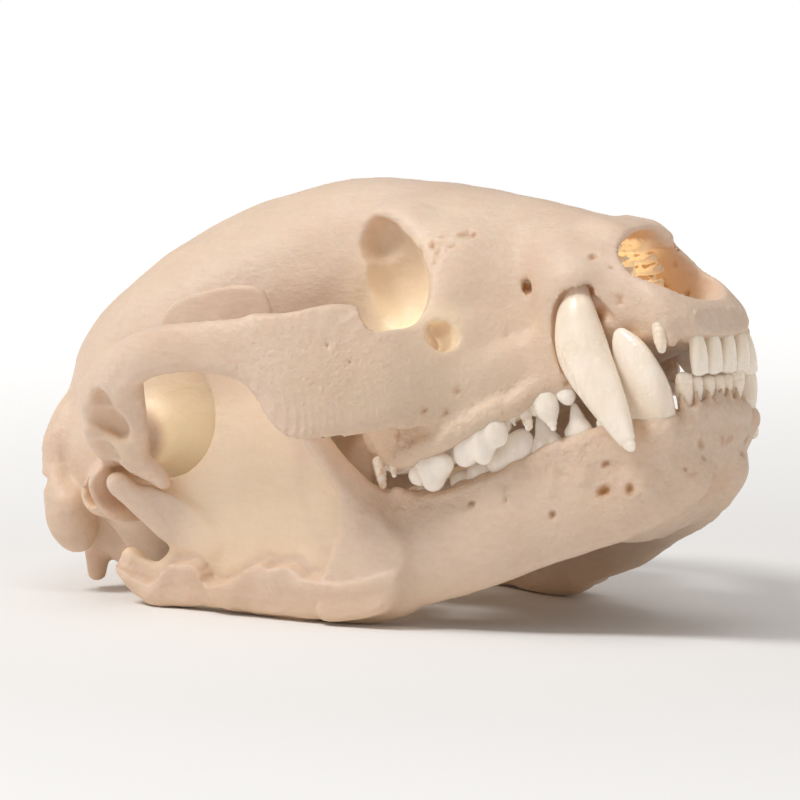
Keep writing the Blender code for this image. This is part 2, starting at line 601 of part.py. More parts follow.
for jaw, table in (("upper", UPPER), ("lower", LOWER)):
    for kind, rings in table.items():
        for side, tag in ((1, "right"), (-1, "left")):
            shape = rings
            if jaw == "upper" and kind == "incisor_3" and side == 1:
                shape = STUB
            count = 8 if kind == "canine" else 6
            make_tooth("%s_%s_%s" % (jaw, tag, kind), shape, side, count)
            make_socket("socket_%s_%s_%s" % (jaw, tag, kind), shape, side, count)


# ---------------------------------------------------------------- bones
CUTS = bpy.data.collections.new("cuts_cranium")
TOOLS.children.link(CUTS)


def bone(name, build, mat, cuts, tris, sockets, floor=None):
    bm = bmesh.new()
    build(bm)
    ob = finish(bm, name, PART, mat)
    fuse = ob.modifiers.new("fuse", "REMESH")
    fuse.mode = "VOXEL"
    fuse.voxel_size = VOXEL * MM
    fuse.use_smooth_shade = True
    ease = ob.modifiers.new("ease", "SMOOTH")
    ease.factor = 0.5
    ease.iterations = 2
    for c in cuts:
        cut = ob.modifiers.new(c.name, "BOOLEAN")
        cut.operation = "DIFFERENCE"
        cut.solver = "EXACT"
        cut.object = c
    knit = ob.modifiers.new("knit", "REMESH")
    knit.mode = "VOXEL"
    knit.voxel_size = (VOXEL - 0.1) * MM
    thin = ob.modifiers.new("thin", "DECIMATE")
    thin.decimate_type = "COLLAPSE"
    thin.use_collapse_triangulate = True
    bpy.context.view_layer.update()
    ob_eval = ob.evaluated_get(bpy.context.evaluated_depsgraph_get())
    mesh = ob_eval.to_mesh()
    mesh.calc_loop_triangles()
    full = len(mesh.loop_triangles)
    ob_eval.to_mesh_clear()
    thin.ratio = min(1.0, tris / max(full, 1))
    if floor is not None:
        cut = ob.modifiers.new("worn_flats", "BOOLEAN")
        cut.operation = "DIFFERENCE"
        cut.solver = "EXACT"
        cut.object = floor
    seat = ob.modifiers.new("sockets", "BOOLEAN")
    seat.operation = "DIFFERENCE"
    seat.solver = "EXACT"
    seat.operand_type = "COLLECTION"
    seat.collection = sockets
    return ob


def slab(bm):
    made = bmesh.ops.create_cube(bm, size=1.0)
    for v in made["verts"]:
        v.co = Vector((v.co.x * 0.2, v.co.y * 0.2, FLOOR_FLAT * MM - 0.01 + v.co.z * 0.02))


FLOOR = cutter("worn_flat_plane", slab)

bone("cranium", cranium_shell, BONE, cranium_cuts(), CRANIUM_TRIS, SOCKETS["upper"])
bone("mandible", mandible_shell, JAW, [], MANDIBLE_TRIS, SOCKETS["lower"], FLOOR)
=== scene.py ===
"""Looks of the raccoon skull: fine bone surfaces, teeth, materials, floor, light, camera.

Shapes are laid out in the skull's own frame in millimetres: a along the palate (0 at the
front of the incisor sockets, negative backwards), l sideways (positive to the animal's
right), h up square to the palate.  They are written as distance fields, meshed, and
set in the part's frame.
"""
import bpy
import math
import numpy as np
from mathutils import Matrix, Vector


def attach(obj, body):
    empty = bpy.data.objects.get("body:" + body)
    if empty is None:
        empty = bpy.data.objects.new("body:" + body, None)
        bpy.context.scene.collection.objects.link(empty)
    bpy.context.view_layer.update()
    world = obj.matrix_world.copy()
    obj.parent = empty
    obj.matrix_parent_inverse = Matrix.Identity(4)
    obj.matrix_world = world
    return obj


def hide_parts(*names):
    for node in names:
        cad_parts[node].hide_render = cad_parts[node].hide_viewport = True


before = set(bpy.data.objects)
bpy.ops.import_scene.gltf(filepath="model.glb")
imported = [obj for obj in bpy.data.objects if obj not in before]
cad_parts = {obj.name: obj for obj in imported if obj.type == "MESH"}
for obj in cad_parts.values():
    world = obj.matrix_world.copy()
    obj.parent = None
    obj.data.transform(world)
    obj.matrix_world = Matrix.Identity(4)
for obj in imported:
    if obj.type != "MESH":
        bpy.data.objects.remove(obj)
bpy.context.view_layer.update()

MM = 0.001
PITCH = math.radians(20.0)
X_FRONT, Z_FRONT = 58.34, 41.52
CP, SP = math.cos(PITCH), math.sin(PITCH)
SNOUT_SLIM = 0.19
RNG = np.random.default_rng(7)


def ease(x, lo, hi):
    t = np.clip((x - lo) / (hi - lo), 0, 1)
    return t * t * (3 - 2 * t)


def slim(a, l, h):
    """The snout draws in from the cheeks forward, and its sides slope back as it does."""
    s = SNOUT_SLIM * ease(-a, 1.5, 8.5) * (1 - ease(-a, 17, 38))
    m = s * (np.sqrt(l * l + 0.25) - 0.5)
    return a - 0.913 * m, l - s * l, h + 0.219 * m


def to_world(p):
    a, l, h = slim(p[:, 0], p[:, 1], p[:, 2])
    return np.stack([X_FRONT + a * CP - h * SP, -l, Z_FRONT + a * SP + h * CP], 1) * MM


# ------------------------------------------------------------------ curve reading
def curve(table, col=1):
    """Smooth column reader of a table whose first column is the position."""
    t = np.array([r[0] for r in table], float)
    y = np.array([r[col] for r in table], float)
    if t[0] > t[-1]:
        t, y = t[::-1], y[::-1]
    d = np.diff(y) / np.diff(t)
    m = np.empty_like(y)
    m[0], m[-1] = d[0], d[-1]
    m[1:-1] = 0.5 * (d[:-1] + d[1:])

    def read(x):
        x = np.clip(x, t[0], t[-1])
        i = np.clip(np.searchsorted(t, x, side="right") - 1, 0, len(t) - 2)
        s = t[i + 1] - t[i]
        u = (x - t[i]) / s
        return ((2 * u**3 - 3 * u**2 + 1) * y[i] + (u**3 - 2 * u**2 + u) * s * m[i]
                + (-2 * u**3 + 3 * u**2) * y[i + 1] + (u**3 - u**2) * s * m[i + 1])
    return read


def resample(nodes, step=0.5):
    out = []
    n = len(nodes)
    for i in range(n - 1):
        p0 = np.array(nodes[max(i - 1, 0)], float)
        p1, p2 = np.array(nodes[i], float), np.array(nodes[i + 1], float)
        p3 = np.array(nodes[min(i + 2, n - 1)], float)
        cuts = max(1, int(round(np.linalg.norm(p2[:3] - p1[:3]) / step)))
        for c in range(cuts):
            t = c / cuts
            out.append(0.5 * (2 * p1 + (p2 - p0) * t + (2 * p0 - 5 * p1 + 4 * p2 - p3) * t * t
                              + (3 * p1 - p0 - 3 * p2 + p3) * t**3))
    out.append(np.array(nodes[-1], float))
    return np.array(out)


# ------------------------------------------------------------------ smooth noise
LATTICE = RNG.random((33, 33, 33)).astype(np.float32) * 2 - 1
LATTICE[-1], LATTICE[:, -1], LATTICE[:, :, -1] = LATTICE[0], LATTICE[:, 0], LATTICE[:, :, 0]


def noise(p, size, seed=0):
    q = p / size + seed * 7.31
    i = np.floor(q).astype(int)
    f = q - i
    f = f * f * (3 - 2 * f)
    i %= 32
    x, y, z = i[:, 0], i[:, 1], i[:, 2]
    fx, fy, fz = f[:, 0], f[:, 1], f[:, 2]
    out = 0
    for dx in (0, 1):
        for dy in (0, 1):
            for dz in (0, 1):
                w = (fx if dx else 1 - fx) * (fy if dy else 1 - fy) * (fz if dz else 1 - fz)
                out = out + w * LATTICE[x + dx, y + dy, z + dz]
    return out


# ------------------------------------------------------------------ distance field
class Field:
    """A block of space, sampled on a grid, that shapes are added to and cut from."""

    def __init__(self, lo, hi, step):
        self.h = step
        self.lo = np.array(lo, float)
        n = np.ceil((np.array(hi, float) - self.lo) / step).astype(int) + 1
        self.ax = [self.lo[k] + step * np.arange(n[k]) for k in range(3)]
        self.d = np.full(tuple(n), 30.0, np.float32)

    def block(self, lo, hi):
        s = []
        for k in range(3):
            i0 = int(np.clip(np.floor((lo[k] - self.lo[k]) / self.h), 0, len(self.ax[k])))
            i1 = int(np.clip(np.ceil((hi[k] - self.lo[k]) / self.h) + 1, 0, len(self.ax[k])))
            if i1 <= i0:
                return None
            s.append(slice(i0, i1))
        return tuple(s)

    def grid(self, s):
        return (self.ax[0][s[0]][:, None, None], self.ax[1][s[1]][None, :, None],
                self.ax[2][s[2]][None, None, :])

    def mix(self, s, new, k, cut=False):
        if s is None:
            return
        old = self.d[s]
        if cut:
            new = -new
            if k <= 0:
                self.d[s] = np.maximum(old, new)
                return
            g = np.clip(0.5 - 0.5 * (old - new) / k, 0, 1)
            self.d[s] = old + (new - old) * g + k * g * (1 - g)
            return
        if k <= 0:
            self.d[s] = np.minimum(old, new)
            return
        g = np.clip(0.5 + 0.5 * (old - new) / k, 0, 1)
        self.d[s] = old + (new - old) * g - k * g * (1 - g)

    # -- shapes
    def loft(self, table, k=1.5, cut=False, grow=0.0, endcap=1.0):
        rows = [[r[0]] + list(r[1:]) for r in table]
        a0, a1 = min(r[0] for r in rows), max(r[0] for r in rows)
        wmax = max(r[1] for r in rows) * 1.35 + 4
        hi, lo = max(r[2] for r in rows) + 4, min(r[3] for r in rows) - 4
        s = self.block((a0 - 4, -wmax, lo), (a1 + 4, wmax, hi))
        if s is None:
            return
        A, L, H = self.grid(s)
        rd = [curve(rows, c) for c in range(1, 6)]
        w, top, bot, tap, n = [f(A) for f in rd]
        w, top, bot = w + grow, top + grow, bot - grow
        c, r = 0.5 * (top + bot), np.maximum(0.5 * (top - bot), 0.05)
        y = (H - c) / r
        x = L / (w * (1 - tap * np.clip(y, -1.2, 1.2)))
        rho = (np.abs(x) ** n + np.abs(y) ** n) ** (1 / n) + 1e-5
        dist = np.sqrt(L * L + (H - c) ** 2 + 0.01)
        d = dist * (1 - 1 / rho)
        # how steeply the measure rises, so that flat sides keep a true distance
        d = np.maximum(d, np.maximum(A - a1, a0 - A) * endcap)
        self.mix(s, d.astype(np.float32), k, cut)

    def sweep(self, nodes, side=1, k=1.5, cut=False, upright=True, power=2.0):
        p = resample(nodes, 0.6)
        p[:, 1] *= side
        r = p[:, 3:5].max() + 4
        s = self.block(p[:, :3].min(0) - r, p[:, :3].max(0) + r)
        if s is None:
            return
        A, L, H = np.broadcast_arrays(*self.grid(s))
        shape = A.shape
        X = np.stack([A.ravel(), L.ravel(), H.ravel()], 1).astype(np.float32)
        best = np.full(len(X), 1e9, np.float32)
        t = np.gradient(p[:, :3], axis=0)
        t /= np.linalg.norm(t, axis=1)[:, None]
        up0 = np.array([0, 0, 1.0] if upright else [1.0, 0, 0])
        N = np.cross(t, up0)
        N /= np.linalg.norm(N, axis=1)[:, None]
        U = np.cross(N, t)
        for i in range(len(p)):
            q = X - p[i, :3].astype(np.float32)
            near = np.abs(q @ t[i].astype(np.float32))
            lim = 1.2 if 0 < i < len(p) - 1 else 6.0
            m = near < lim
            q = q[m]
            u = q @ U[i].astype(np.float32)
            v = q @ N[i].astype(np.float32)
            w = near[m]
            rr = min(p[i, 3], p[i, 4])
            if power == 2.0:
                rho = np.sqrt((u / p[i, 3]) ** 2 + (v / p[i, 4]) ** 2 + (w / rr) ** 2) + 1e-4
            else:
                rho = (np.abs(u / p[i, 3]) ** power + np.abs(v / p[i, 4]) ** power
                       + np.abs(w / rr) ** power) ** (1 / power) + 1e-4
            e = np.sqrt(u * u + v * v + w * w) * (1 - 1 / rho)
            # inside, the radial measure is capped by the thin way out
            e = np.maximum(e, (rho - 1) * rr * 1.0 - 0.0) if rr > 0 else e
            best[m] = np.minimum(best[m], e)
        best = np.where(best > 1e8, 6.0, best)
        self.mix(s, best.reshape(shape), k, cut)

    def ball(self, a, l, h, ra, rl, rh, side=1, k=1.5, cut=False, turn=None):
        R = max(ra, rl, rh) + 4
        s = self.block((a - R, side * l - R, h - R), (a + R, side * l + R, h + R))
        if s is None:
            return
        A, L, H = self.grid(s)
        x, y, z = A - a, (L - side * l) * side, H - h
        if turn is not None:            # turned in the a-h plane, degrees
            c, q = math.cos(math.radians(turn)), math.sin(math.radians(turn))
            x, z = c * x + q * z, -q * x + c * z
        rho = np.sqrt((x / ra) ** 2 + (y / rl) ** 2 + (z / rh) ** 2) + 1e-4
        e = np.sqrt(x * x + y * y + z * z) * (1 - 1 / rho)
        e = np.maximum(e, (rho - 1) * min(ra, rl, rh))
        self.mix(s, e.astype(np.float32), k, cut)

    def groove(self, path, side, depth, width, reach=3.0):
        """A shallow line along a path: depth > 0 cuts in, < 0 stands proud."""
        p = resample([tuple(q) + (0, 0) for q in path], 0.5)
        p[:, 1] *= side
        r = width * 2.5 + reach
        s = self.block(p[:, :3].min(0) - r, p[:, :3].max(0) + r)
        if s is None:
            return
        A, L, H = self.grid(s)
        best = np.full(np.broadcast_shapes(A.shape, L.shape, H.shape), 1e9, np.float32)
        for q in p:
            e = (A - q[0]) ** 2 + (L - q[1]) ** 2 + (H - q[2]) ** 2
            best = np.minimum(best, e)
        self.d[s] += (depth * np.exp(-best / width ** 2)).astype(np.float32)

    def pit(self, a, l, h, r, depth, side=1, stretch=(1, 1, 1)):
        R = r * 3 * max(stretch)
        s = self.block((a - R, side * l - R, h - R), (a + R, side * l + R, h + R))
        if s is None:
            return
        A, L, H = self.grid(s)
        e = ((A - a) / stretch[0]) ** 2 + ((L - side * l) / stretch[1]) ** 2 + ((H - h) / stretch[2]) ** 2
        self.d[s] += (depth * np.exp(-(e / r ** 2) ** 1.5)).astype(np.float32)

    # -- meshing
    def mirrored(self):
        """The field with its other half (the grid's l axis starts half a step past 0)."""
        f = Field.__new__(Field)
        f.h = self.h
        l = self.ax[1]
        f.ax = [self.ax[0], np.concatenate([-l[::-1], l]), self.ax[2]]
        f.lo = np.array([ax[0] for ax in f.ax])
        f.d = np.concatenate([self.d[:, ::-1], self.d], axis=1)
        return f

    def mesh(self):
        d = self.d
        d = np.where(np.abs(d) < 1e-4, 1e-4, d)
        d[0], d[-1], d[:, 0], d[:, -1], d[:, :, 0], d[:, :, -1] = 5, 5, 5, 5, 5, 5
        ins = d < 0
        nx, ny, nz = d.shape
        cnt = np.zeros((nx - 1, ny - 1, nz - 1), np.int8)
        for i in (0, 1):
            for j in (0, 1):
                for k in (0, 1):
                    cnt += ins[i:nx - 1 + i, j:ny - 1 + j, k:nz - 1 + k]
        act = (cnt > 0) & (cnt < 8)
        I, J, K = np.nonzero(act)
        n = len(I)
        index = np.full(cnt.shape, -1, np.int32)
        index[I, J, K] = np.arange(n)
        corners = [(i, j, k) for i in (0, 1) for j in (0, 1) for k in (0, 1)]
        val = np.stack([d[I + i, J + j, K + k] for i, j, k in corners], 1)
        C = np.array(corners, float)
        tot = np.zeros((n, 3))
        num = np.zeros(n)
        for x in range(8):
            for y in range(x + 1, 8):
                if np.abs(C[x] - C[y]).sum() != 1:
                    continue
                m = (val[:, x] < 0) != (val[:, y] < 0)
                t = val[m, x] / (val[m, x] - val[m, y])
                tot[m] += C[x] + (C[y] - C[x]) * t[:, None]
                num[m] += 1
        v = tot / num[:, None] + np.stack([I, J, K], 1)
        quads = []
        for axis in range(3):
            o1, o2 = (axis + 1) % 3, (axis + 2) % 3
            sl0 = [slice(None)] * 3
            sl1 = [slice(None)] * 3
            sl0[axis], sl1[axis] = slice(0, -1), slice(1, None)
            e = ins[tuple(sl0)] != ins[tuple(sl1)]
            P = np.stack(np.nonzero(e), 1)
            ok = np.all(P > 0, 1) & (P[:, o1] < d.shape[o1] - 1) & (P[:, o2] < d.shape[o2] - 1)
            P = P[ok]
            q = []
            for u, w in ((-1, -1), (0, -1), (0, 0), (-1, 0)):
                R = P.copy()
                R[:, o1] += u
                R[:, o2] += w
                q.append(index[R[:, 0], R[:, 1], R[:, 2]])
            q = np.stack(q, 1)
            flip = ~ins[P[:, 0], P[:, 1], P[:, 2]]
            q[flip] = q[flip][:, ::-1]
            quads.append(q)
        q = np.concatenate(quads)
        q = q[np.all(q >= 0, 1)]
        # settle each vertex on the surface
        for _ in range(2):
            f, g = self.read(v, d)
            gg = (g * g).sum(1) + 1e-6
            step = np.clip(f / gg, -0.5, 0.5)
            v = v - 0.7 * g * step[:, None]
        return self.lo + v * self.h, q

    def read(self, v, d):
        i = np.clip(np.floor(v).astype(int), 0, np.array(d.shape) - 2)
        f = v - i
        x, y, z = i.T
        fx, fy, fz = f.T
        c = {}
        for a in (0, 1):
            for b in (0, 1):
                for e in (0, 1):
                    c[a, b, e] = d[x + a, y + b, z + e]
        def lin(p, q, t):
            return p + (q - p) * t
        c00, c01 = lin(c[0, 0, 0], c[1, 0, 0], fx), lin(c[0, 0, 1], c[1, 0, 1], fx)
        c10, c11 = lin(c[0, 1, 0], c[1, 1, 0], fx), lin(c[0, 1, 1], c[1, 1, 1], fx)
        val = lin(lin(c00, c10, fy), lin(c01, c11, fy), fz)
        gx = lin(lin(c[1, 0, 0] - c[0, 0, 0], c[1, 1, 0] - c[0, 1, 0], fy),
                 lin(c[1, 0, 1] - c[0, 0, 1], c[1, 1, 1] - c[0, 1, 1], fy), fz)
        gy = lin(c10 - c00, c11 - c01, fz)
        gz = lin(c01, c11, fy) - lin(c00, c10, fy)
        return val, np.stack([gx, gy, gz], 1)


# ------------------------------------------------------------------ cranium
CORE = [
    (0.2, 5.6, 3.6, -0.2, 0.00, 2.6), (-1.2, 7.6, 6.2, -0.4, 0.05, 2.6),
    (-3.2, 9.0, 9.8, -0.4, 0.08, 2.6), (-5.5, 9.5, 14.2, -0.2, 0.10, 2.6),
    (-7.8, 10.1, 17.8, 0.2, 0.14, 2.6), (-10.5, 11.0, 19.6, 0.2, 0.17, 2.6),
    (-14.2, 12.2, 21.5, 0.0, 0.20, 2.5), (-18.0, 12.6, 23.6, 0.0, 0.22, 2.4),
    (-21.6, 12.7, 25.6, 0.0, 0.22, 2.35), (-26.0, 13.2, 28.1, 0.4, 0.20, 2.3),
    (-30.0, 13.5, 30.2, 0.5, 0.12, 2.3), (-35.0, 13.2, 32.8, 0.5, 0.05, 2.4),
    (-40.0, 12.8, 35.2, 0.5, -0.05, 2.5), (-45.4, 12.6, 37.4, 0.5, -0.08, 2.5),
    (-50.0, 12.4, 39.3, 1.0, -0.10, 2.4), (-54.0, 12.3, 40.8, 2.0, -0.08, 2.3),
    (-60.0, 13.2, 42.4, 3.0, -0.02, 2.2), (-66.0, 16.2, 43.3, 3.5, 0.00, 2.1),
    (-72.0, 19.6, 43.8, 3.5, 0.00, 2.1), (-80.0, 22.8, 43.5, 3.2, 0.02, 2.15),
    (-88.0, 24.5, 42.4, 3.2, 0.03, 2.15), (-96.0, 24.2, 40.7, 3.5, 0.04, 2.15),
    (-102.0, 22.6, 39.3, 4.0, 0.05, 2.15), (-106.0, 20.0, 38.0, 5.0, 0.05, 2.2),
    (-109.0, 15.0, 36.0, 8.0, 0.03, 2.2),
]
NASAL = [
    (4.0, 8.2, 30.0, 5.4, 0.00, 2.6), (-4.0, 8.3, 28.0, 4.8, 0.04, 2.6),
    (-7.2, 8.7, 18.2, 4.2, 0.12, 2.4), (-10.0, 9.2, 17.9, 3.8, 0.16, 2.4),
    (-14.0, 9.6, 19.8, 3.6, 0.17, 2.3), (-20.0, 9.2, 23.0, 3.6, 0.18, 2.2),
    (-27.0, 8.0, 26.0, 5.0, 0.15, 2.2), (-34.0, 5.0, 25.0, 8.0, 0.00, 2.2),
]
ARCH = [
    (-24.0, 11.5, 6.0, 5.5, 3.0), (-29.0, 15.4, 6.2, 6.4, 3.4),
    (-33.5, 20.4, 6.4, 7.6, 2.8), (-38.0, 25.6, 8.0, 8.6, 2.2),
    (-42.0, 28.9, 9.6, 9.6, 1.9), (-46.0, 31.6, 11.8, 10.8, 1.7),
    (-50.0, 33.6, 14.6, 7.4, 1.6), (-54.0, 35.1, 16.5, 4.6, 1.6),
    (-59.0, 36.4, 18.4, 3.8, 1.7), (-65.0, 37.3, 20.2, 3.4, 1.8),
    (-71.0, 37.7, 20.9, 3.5, 2.0), (-77.0, 37.5, 19.9, 4.1, 2.2),
    (-82.0, 36.3, 17.8, 4.8, 2.6), (-85.8, 33.6, 15.2, 4.8, 3.2),
    (-87.4, 29.5, 13.4, 4.2, 4.0), (-87.8, 24.5, 13.4, 4.2, 4.4),
    (-88.0, 18.5, 15.0, 5.0, 5.0),
]
ALVEOLAR = [
    (-17.0, 12.6, 3.0, 4.2, 2.8), (-22.0, 13.6, 2.6, 4.2, 2.8),
    (-27.0, 15.0, 1.8, 4.4, 3.1), (-33.0, 16.8, 1.2, 4.8, 3.6),
    (-39.0, 17.8, 0.6, 4.8, 3.8), (-45.0, 17.4, 0.8, 4.4, 3.6),
    (-49.5, 16.0, 2.0, 3.6, 3.0), (-52.5, 13.5, 3.4, 3.0, 2.4),
]
PTERYGOID = [
    (-50.0, 11.5, 3.6, 3.2, 2.2), (-57.0, 8.2, 2.4, 4.2, 1.1),
    (-65.0, 6.8, 1.6, 4.6, 0.85), (-73.0, 6.4, 1.6, 4.2, 0.8),
    (-78.0, 6.6, 1.4, 3.8, 0.9), (-81.5, 7.0, -0.6, 1.6, 0.8),
]
NUCHAL = [
    (-111.4, 0.0, 36.4, 2.2, 1.1), (-110.4, 4.0, 35.2, 1.9, 1.1),
    (-108.9, 8.0, 32.7, 1.9, 1.1), (-107.0, 13.6, 29.4, 2.0, 1.1),
    (-105.7, 18.4, 25.6, 2.0, 1.2), (-106.2, 22.3, 22.2, 2.2, 1.2),
    (-107.2, 24.3, 18.6, 2.4, 1.3), (-108.0, 25.0, 15.0, 2.2, 1.5),
    (-107.4, 25.8, 11.5, 2.2, 2.0), (-105.5, 26.2, 8.0, 2.4, 2.2),
]


def build_cranium():
    h = 0.5
    f = Field((-117.0, h / 2, -8.5), (4.0, 43.0, 48.0), h)
    f.loft(CORE, 0.0)
    f.loft([(-3.0, 8.0, 3.6, 0.2, 0, 3.0), (-12.0, 11.0, 3.4, 0.6, 0, 3.0),
            (-30.0, 14.0, 3.4, 0.8, 0, 3.0), (-45.0, 14.5, 3.6, 1.0, 0, 3.0),
            (-54.0, 10.0, 4.0, 1.2, 0, 3.0), (-64.0, 6.5, 4.0, 1.6, 0, 3.0)], 1.5)
    f.loft([(-62.0, 6.0, 9.0, 5.6, 0, 2.6), (-80.0, 6.5, 8.0, 3.2, 0, 2.6),
            (-95.0, 8.0, 7.0, 1.6, 0, 2.6), (-107.0, 9.5, 6.0, 1.8, 0, 2.6)], 1.5)
    # temple hollow behind the eye and lower wall narrowing
    f.ball(-54.0, 24.4, 18.0, 12.5, 11.2, 14.0, 1, 4.0, cut=True)
    f.ball(-60.0, 16.5, 2.0, 12.0, 7.0, 8.5, 1, 3.0, cut=True)
    f.ball(-66.0, 28.5, 12.0, 12.0, 11.0, 12.0, 1, 4.0, cut=True)
    f.sweep(ARCH, 1, 2.6)
    f.sweep(ALVEOLAR, 1, 2.0, power=3.4)
    f.sweep([(-16.6, 13.6, -0.9, 1.4, 1.1), (-20.2, 15.6, -0.3, 1.4, 1.1), (-23.2, 17.4, -1.6, 1.5, 1.3),
             (-26.9, 19.2, -2.2, 1.6, 1.4), (-31.8, 20.5, -2.8, 1.6, 1.4), (-36.2, 21.2, -3.3, 1.6, 1.4),
             (-40.6, 21.3, -3.7, 1.6, 1.3), (-45.0, 20.5, -2.7, 1.5, 1.2), (-48.0, 19.4, -0.8, 1.3, 1.1)], 1, 0.7)
    f.sweep([(-25.0, 15.4, 3.4, 2.6, 2.2), (-29.0, 16.8, 2.4, 3.0, 2.6), (-34.0, 18.4, 1.2, 3.0, 2.4)], 1, 3.5)
    f.sweep(PTERYGOID, 1, 1.6)
    f.sweep(NUCHAL, 1, 1.8, upright=False)
    # ridge over the eye tooth root, and the smooth swellings over the other roots
    f.sweep([(-15.6, 10.6, 14.0, 2.0, 2.0), (-16.2, 11.8, 10.0, 2.4, 2.2),
             (-16.8, 12.8, 5.0, 2.4, 2.3), (-17.4, 13.4, 1.0, 2.2, 2.0)], 1, 3.2, upright=False)
    f.ball(-10.6, 8.6, 9.0, 4.2, 3.0, 6.0, 1, 2.5)
    for a, l, top, r in ((-20.9, 14.2, 5.5, 1.4), (-24.2, 14.9, 6.0, 1.3), (-26.6, 15.3, 6.0, 1.2),
                         (-29.6, 18.2, 4.6, 1.5), (-34.0, 20.0, 3.0, 1.4),
                         (-37.4, 20.4, 1.5, 1.5), (-41.5, 20.2, 1.0, 1.5), (-45.8, 19.2, 1.0, 1.2)):
        f.sweep([(a, l - 1.4, top, r * 0.7, r * 0.7), (a, l - 0.4, -0.4, r, r),
                 (a, l - 0.2, -2.4, r * 0.9, r * 0.9)], 1, 1.4, upright=False)
    for a, l in ((-1.2, 1.55), (-1.5, 4.6), (-2.6, 7.7)):
        f.sweep([(a - 2.2, l, 5.0, 0.8, 0.8), (a - 0.4, l, 0.6, 1.2, 1.2)], 1, 1.0, upright=False)
    # rim of the eye hollow, thin and flush with the forehead's shoulder
    f.sweep([(-33.4, 16.6, 14.6, 1.7, 1.8), (-33.8, 14.2, 17.6, 1.6, 1.8), (-34.8, 12.6, 20.8, 1.5, 1.8),
             (-36.8, 11.3, 24.9, 1.4, 1.8), (-39.2, 10.6, 28.2, 1.3, 1.7), (-41.6, 10.2, 30.3, 1.2, 1.6),
             (-44.4, 10.0, 31.6, 1.0, 1.5)], 1, 4.0, upright=False)
    f.ball(-33.0, 10.2, 15.0, 7.5, 6.0, 9.0, 1, 5.0)
    # swelling over the eye tooth's root
    f.sweep([(-13.2, 12.2, 11.6, 3.4, 2.8), (-15.4, 10.9, 14.4, 3.2, 2.1), (-18.4, 8.9, 17.4, 2.6, 1.3)],
            1, 4.5, upright=False)
    # joint region
    f.sweep([(-92.9, 20.0, 8.0, 1.5, 5.0), (-93.0, 25.0, 6.6, 1.5, 5.0),
             (-92.2, 29.6, 6.4, 1.5, 4.2), (-91.0, 32.5, 8.0, 1.6, 3.0)], 1, 1.8, upright=False)
    f.sweep([(-80.0, 36.0, 19.0, 6.2, 2.4), (-80.6, 35.8, 16.8, 6.0, 2.3), (-81.4, 35.0, 13.7, 5.2, 2.2),
             (-82.4, 33.8, 11.3, 4.2, 2.0), (-82.6, 32.2, 8.4, 2.6, 1.7), (-81.9, 30.6, 6.6, 1.7, 1.5),
             (-81.5, 29.3, 4.8, 1.0, 1.1)], 1, 1.4, upright=False)
    # ear bulla, ear tube, mastoid, wall over the ear
    f.ball(-99.2, 15.4, 3.2, 9.8, 7.4, 7.4, 1, 1.2, turn=10)
    f.sweep([(-96.2, 17.0, 4.6, 4.4, 4.4), (-97.0, 22.0, 6.6, 4.0, 4.0),
             (-97.2, 26.2, 7.6, 3.5, 3.7)], 1, 1.4)
    f.ball(-107.0, 25.0, 6.4, 3.7, 3.4, 5.4, 1, 1.8, turn=10)
    f.ball(-99.5, 18.5, 14.0, 9.0, 7.4, 10.0, 1, 2.5)
    f.ball(-109.2, 8.2, 7.6, 3.9, 3.9, 5.4, 1, 1.6, turn=20)
    f.sweep([(-105.0, 18.0, 6.5, 3.4, 3.4), (-108.2, 19.4, 3.0, 2.3, 2.3),
             (-109.8, 20.0, -1.6, 1.3, 1.3)], 1, 1.8, upright=False)
    # muscle hollow between ear bulla and mastoid
    f.ball(-103.4, 21.6, 0.4, 2.6, 1.6, 3.4, 1, 1.2, cut=True)
    f.ball(-97.0, 33.0, 19.0, 8.5, 6.0, 6.0, 1, 2.5, cut=True)
    f.ball(-112.4, 26.4, 12.5, 4.4, 6.5, 1.3, 1, 1.2, cut=True)
    # back of the head, hollow under the crest
    f.ball(-114.5, 13.0, 22.0, 5.4, 8.0, 8.5, 1, 3.0, cut=True)
    f.sweep([(-110.8, 0.0, 34.0, 1.2, 1.2), (-109.6, 0.0, 22.0, 1.0, 1.0)], 1, 1.5, upright=False)

    # ------------- cuts
    f.loft(NASAL, 0.7, cut=True)
    # square shoulders of the nasal bones
    f.sweep([(-13.2, 4.4, 19.1, 1.3, 1.3), (-10.1, 4.8, 17.3, 1.2, 1.2)], 1, 2.4, upright=False)
    # eye hollow
    f.sweep([(-44.1, 12.4, 22.7, 7.4, 4.9), (-39.0, 18.0, 21.4, 7.4, 4.9), (-28.0, 30.0, 18.8, 7.4, 4.9)], 1, 0.4, cut=True)
    f.sweep([(-45.7, 11.6, 28.4, 3.6, 3.5), (-40.8, 17.0, 27.2, 3.6, 3.5), (-32.5, 26.0, 25.2, 3.6, 3.5)], 1, 0.8, cut=True)
    f.sweep([(-46.4, 13.0, 18.7, 2.9, 3.4), (-41.8, 18.0, 17.6, 2.9, 3.4), (-33.6, 27.0, 15.6, 2.9, 3.4)], 1, 0.6, cut=True)
    f.ball(-45.6, 20.2, 15.5, 7.6, 8.0, 7.2, 1, 1.5, cut=True)
    f.ball(-50.5, 21.8, 18.0, 8.5, 8.8, 8.6, 1, 3.0, cut=True)
    # upper edge of the cheekbone
    f.sweep([(-48.0, 36, 22.1, 2.0, 5.0), (-46.8, 35, 21.5, 2.0, 5.0), (-44.8, 34, 21.0, 2.0, 5.0), (-41.3, 32.5, 20.6, 2.0, 5.0), (-38.3, 31, 19.7, 2.0, 5.0), (-35.7, 30, 17.7, 2.0, 5.0)], 1, 0.9, cut=True)
    # thin the cheek root from behind
    f.ball(-41.4, 24.6, 10.6, 4.6, 3.6, 7.0, 1, 1.6, cut=True)
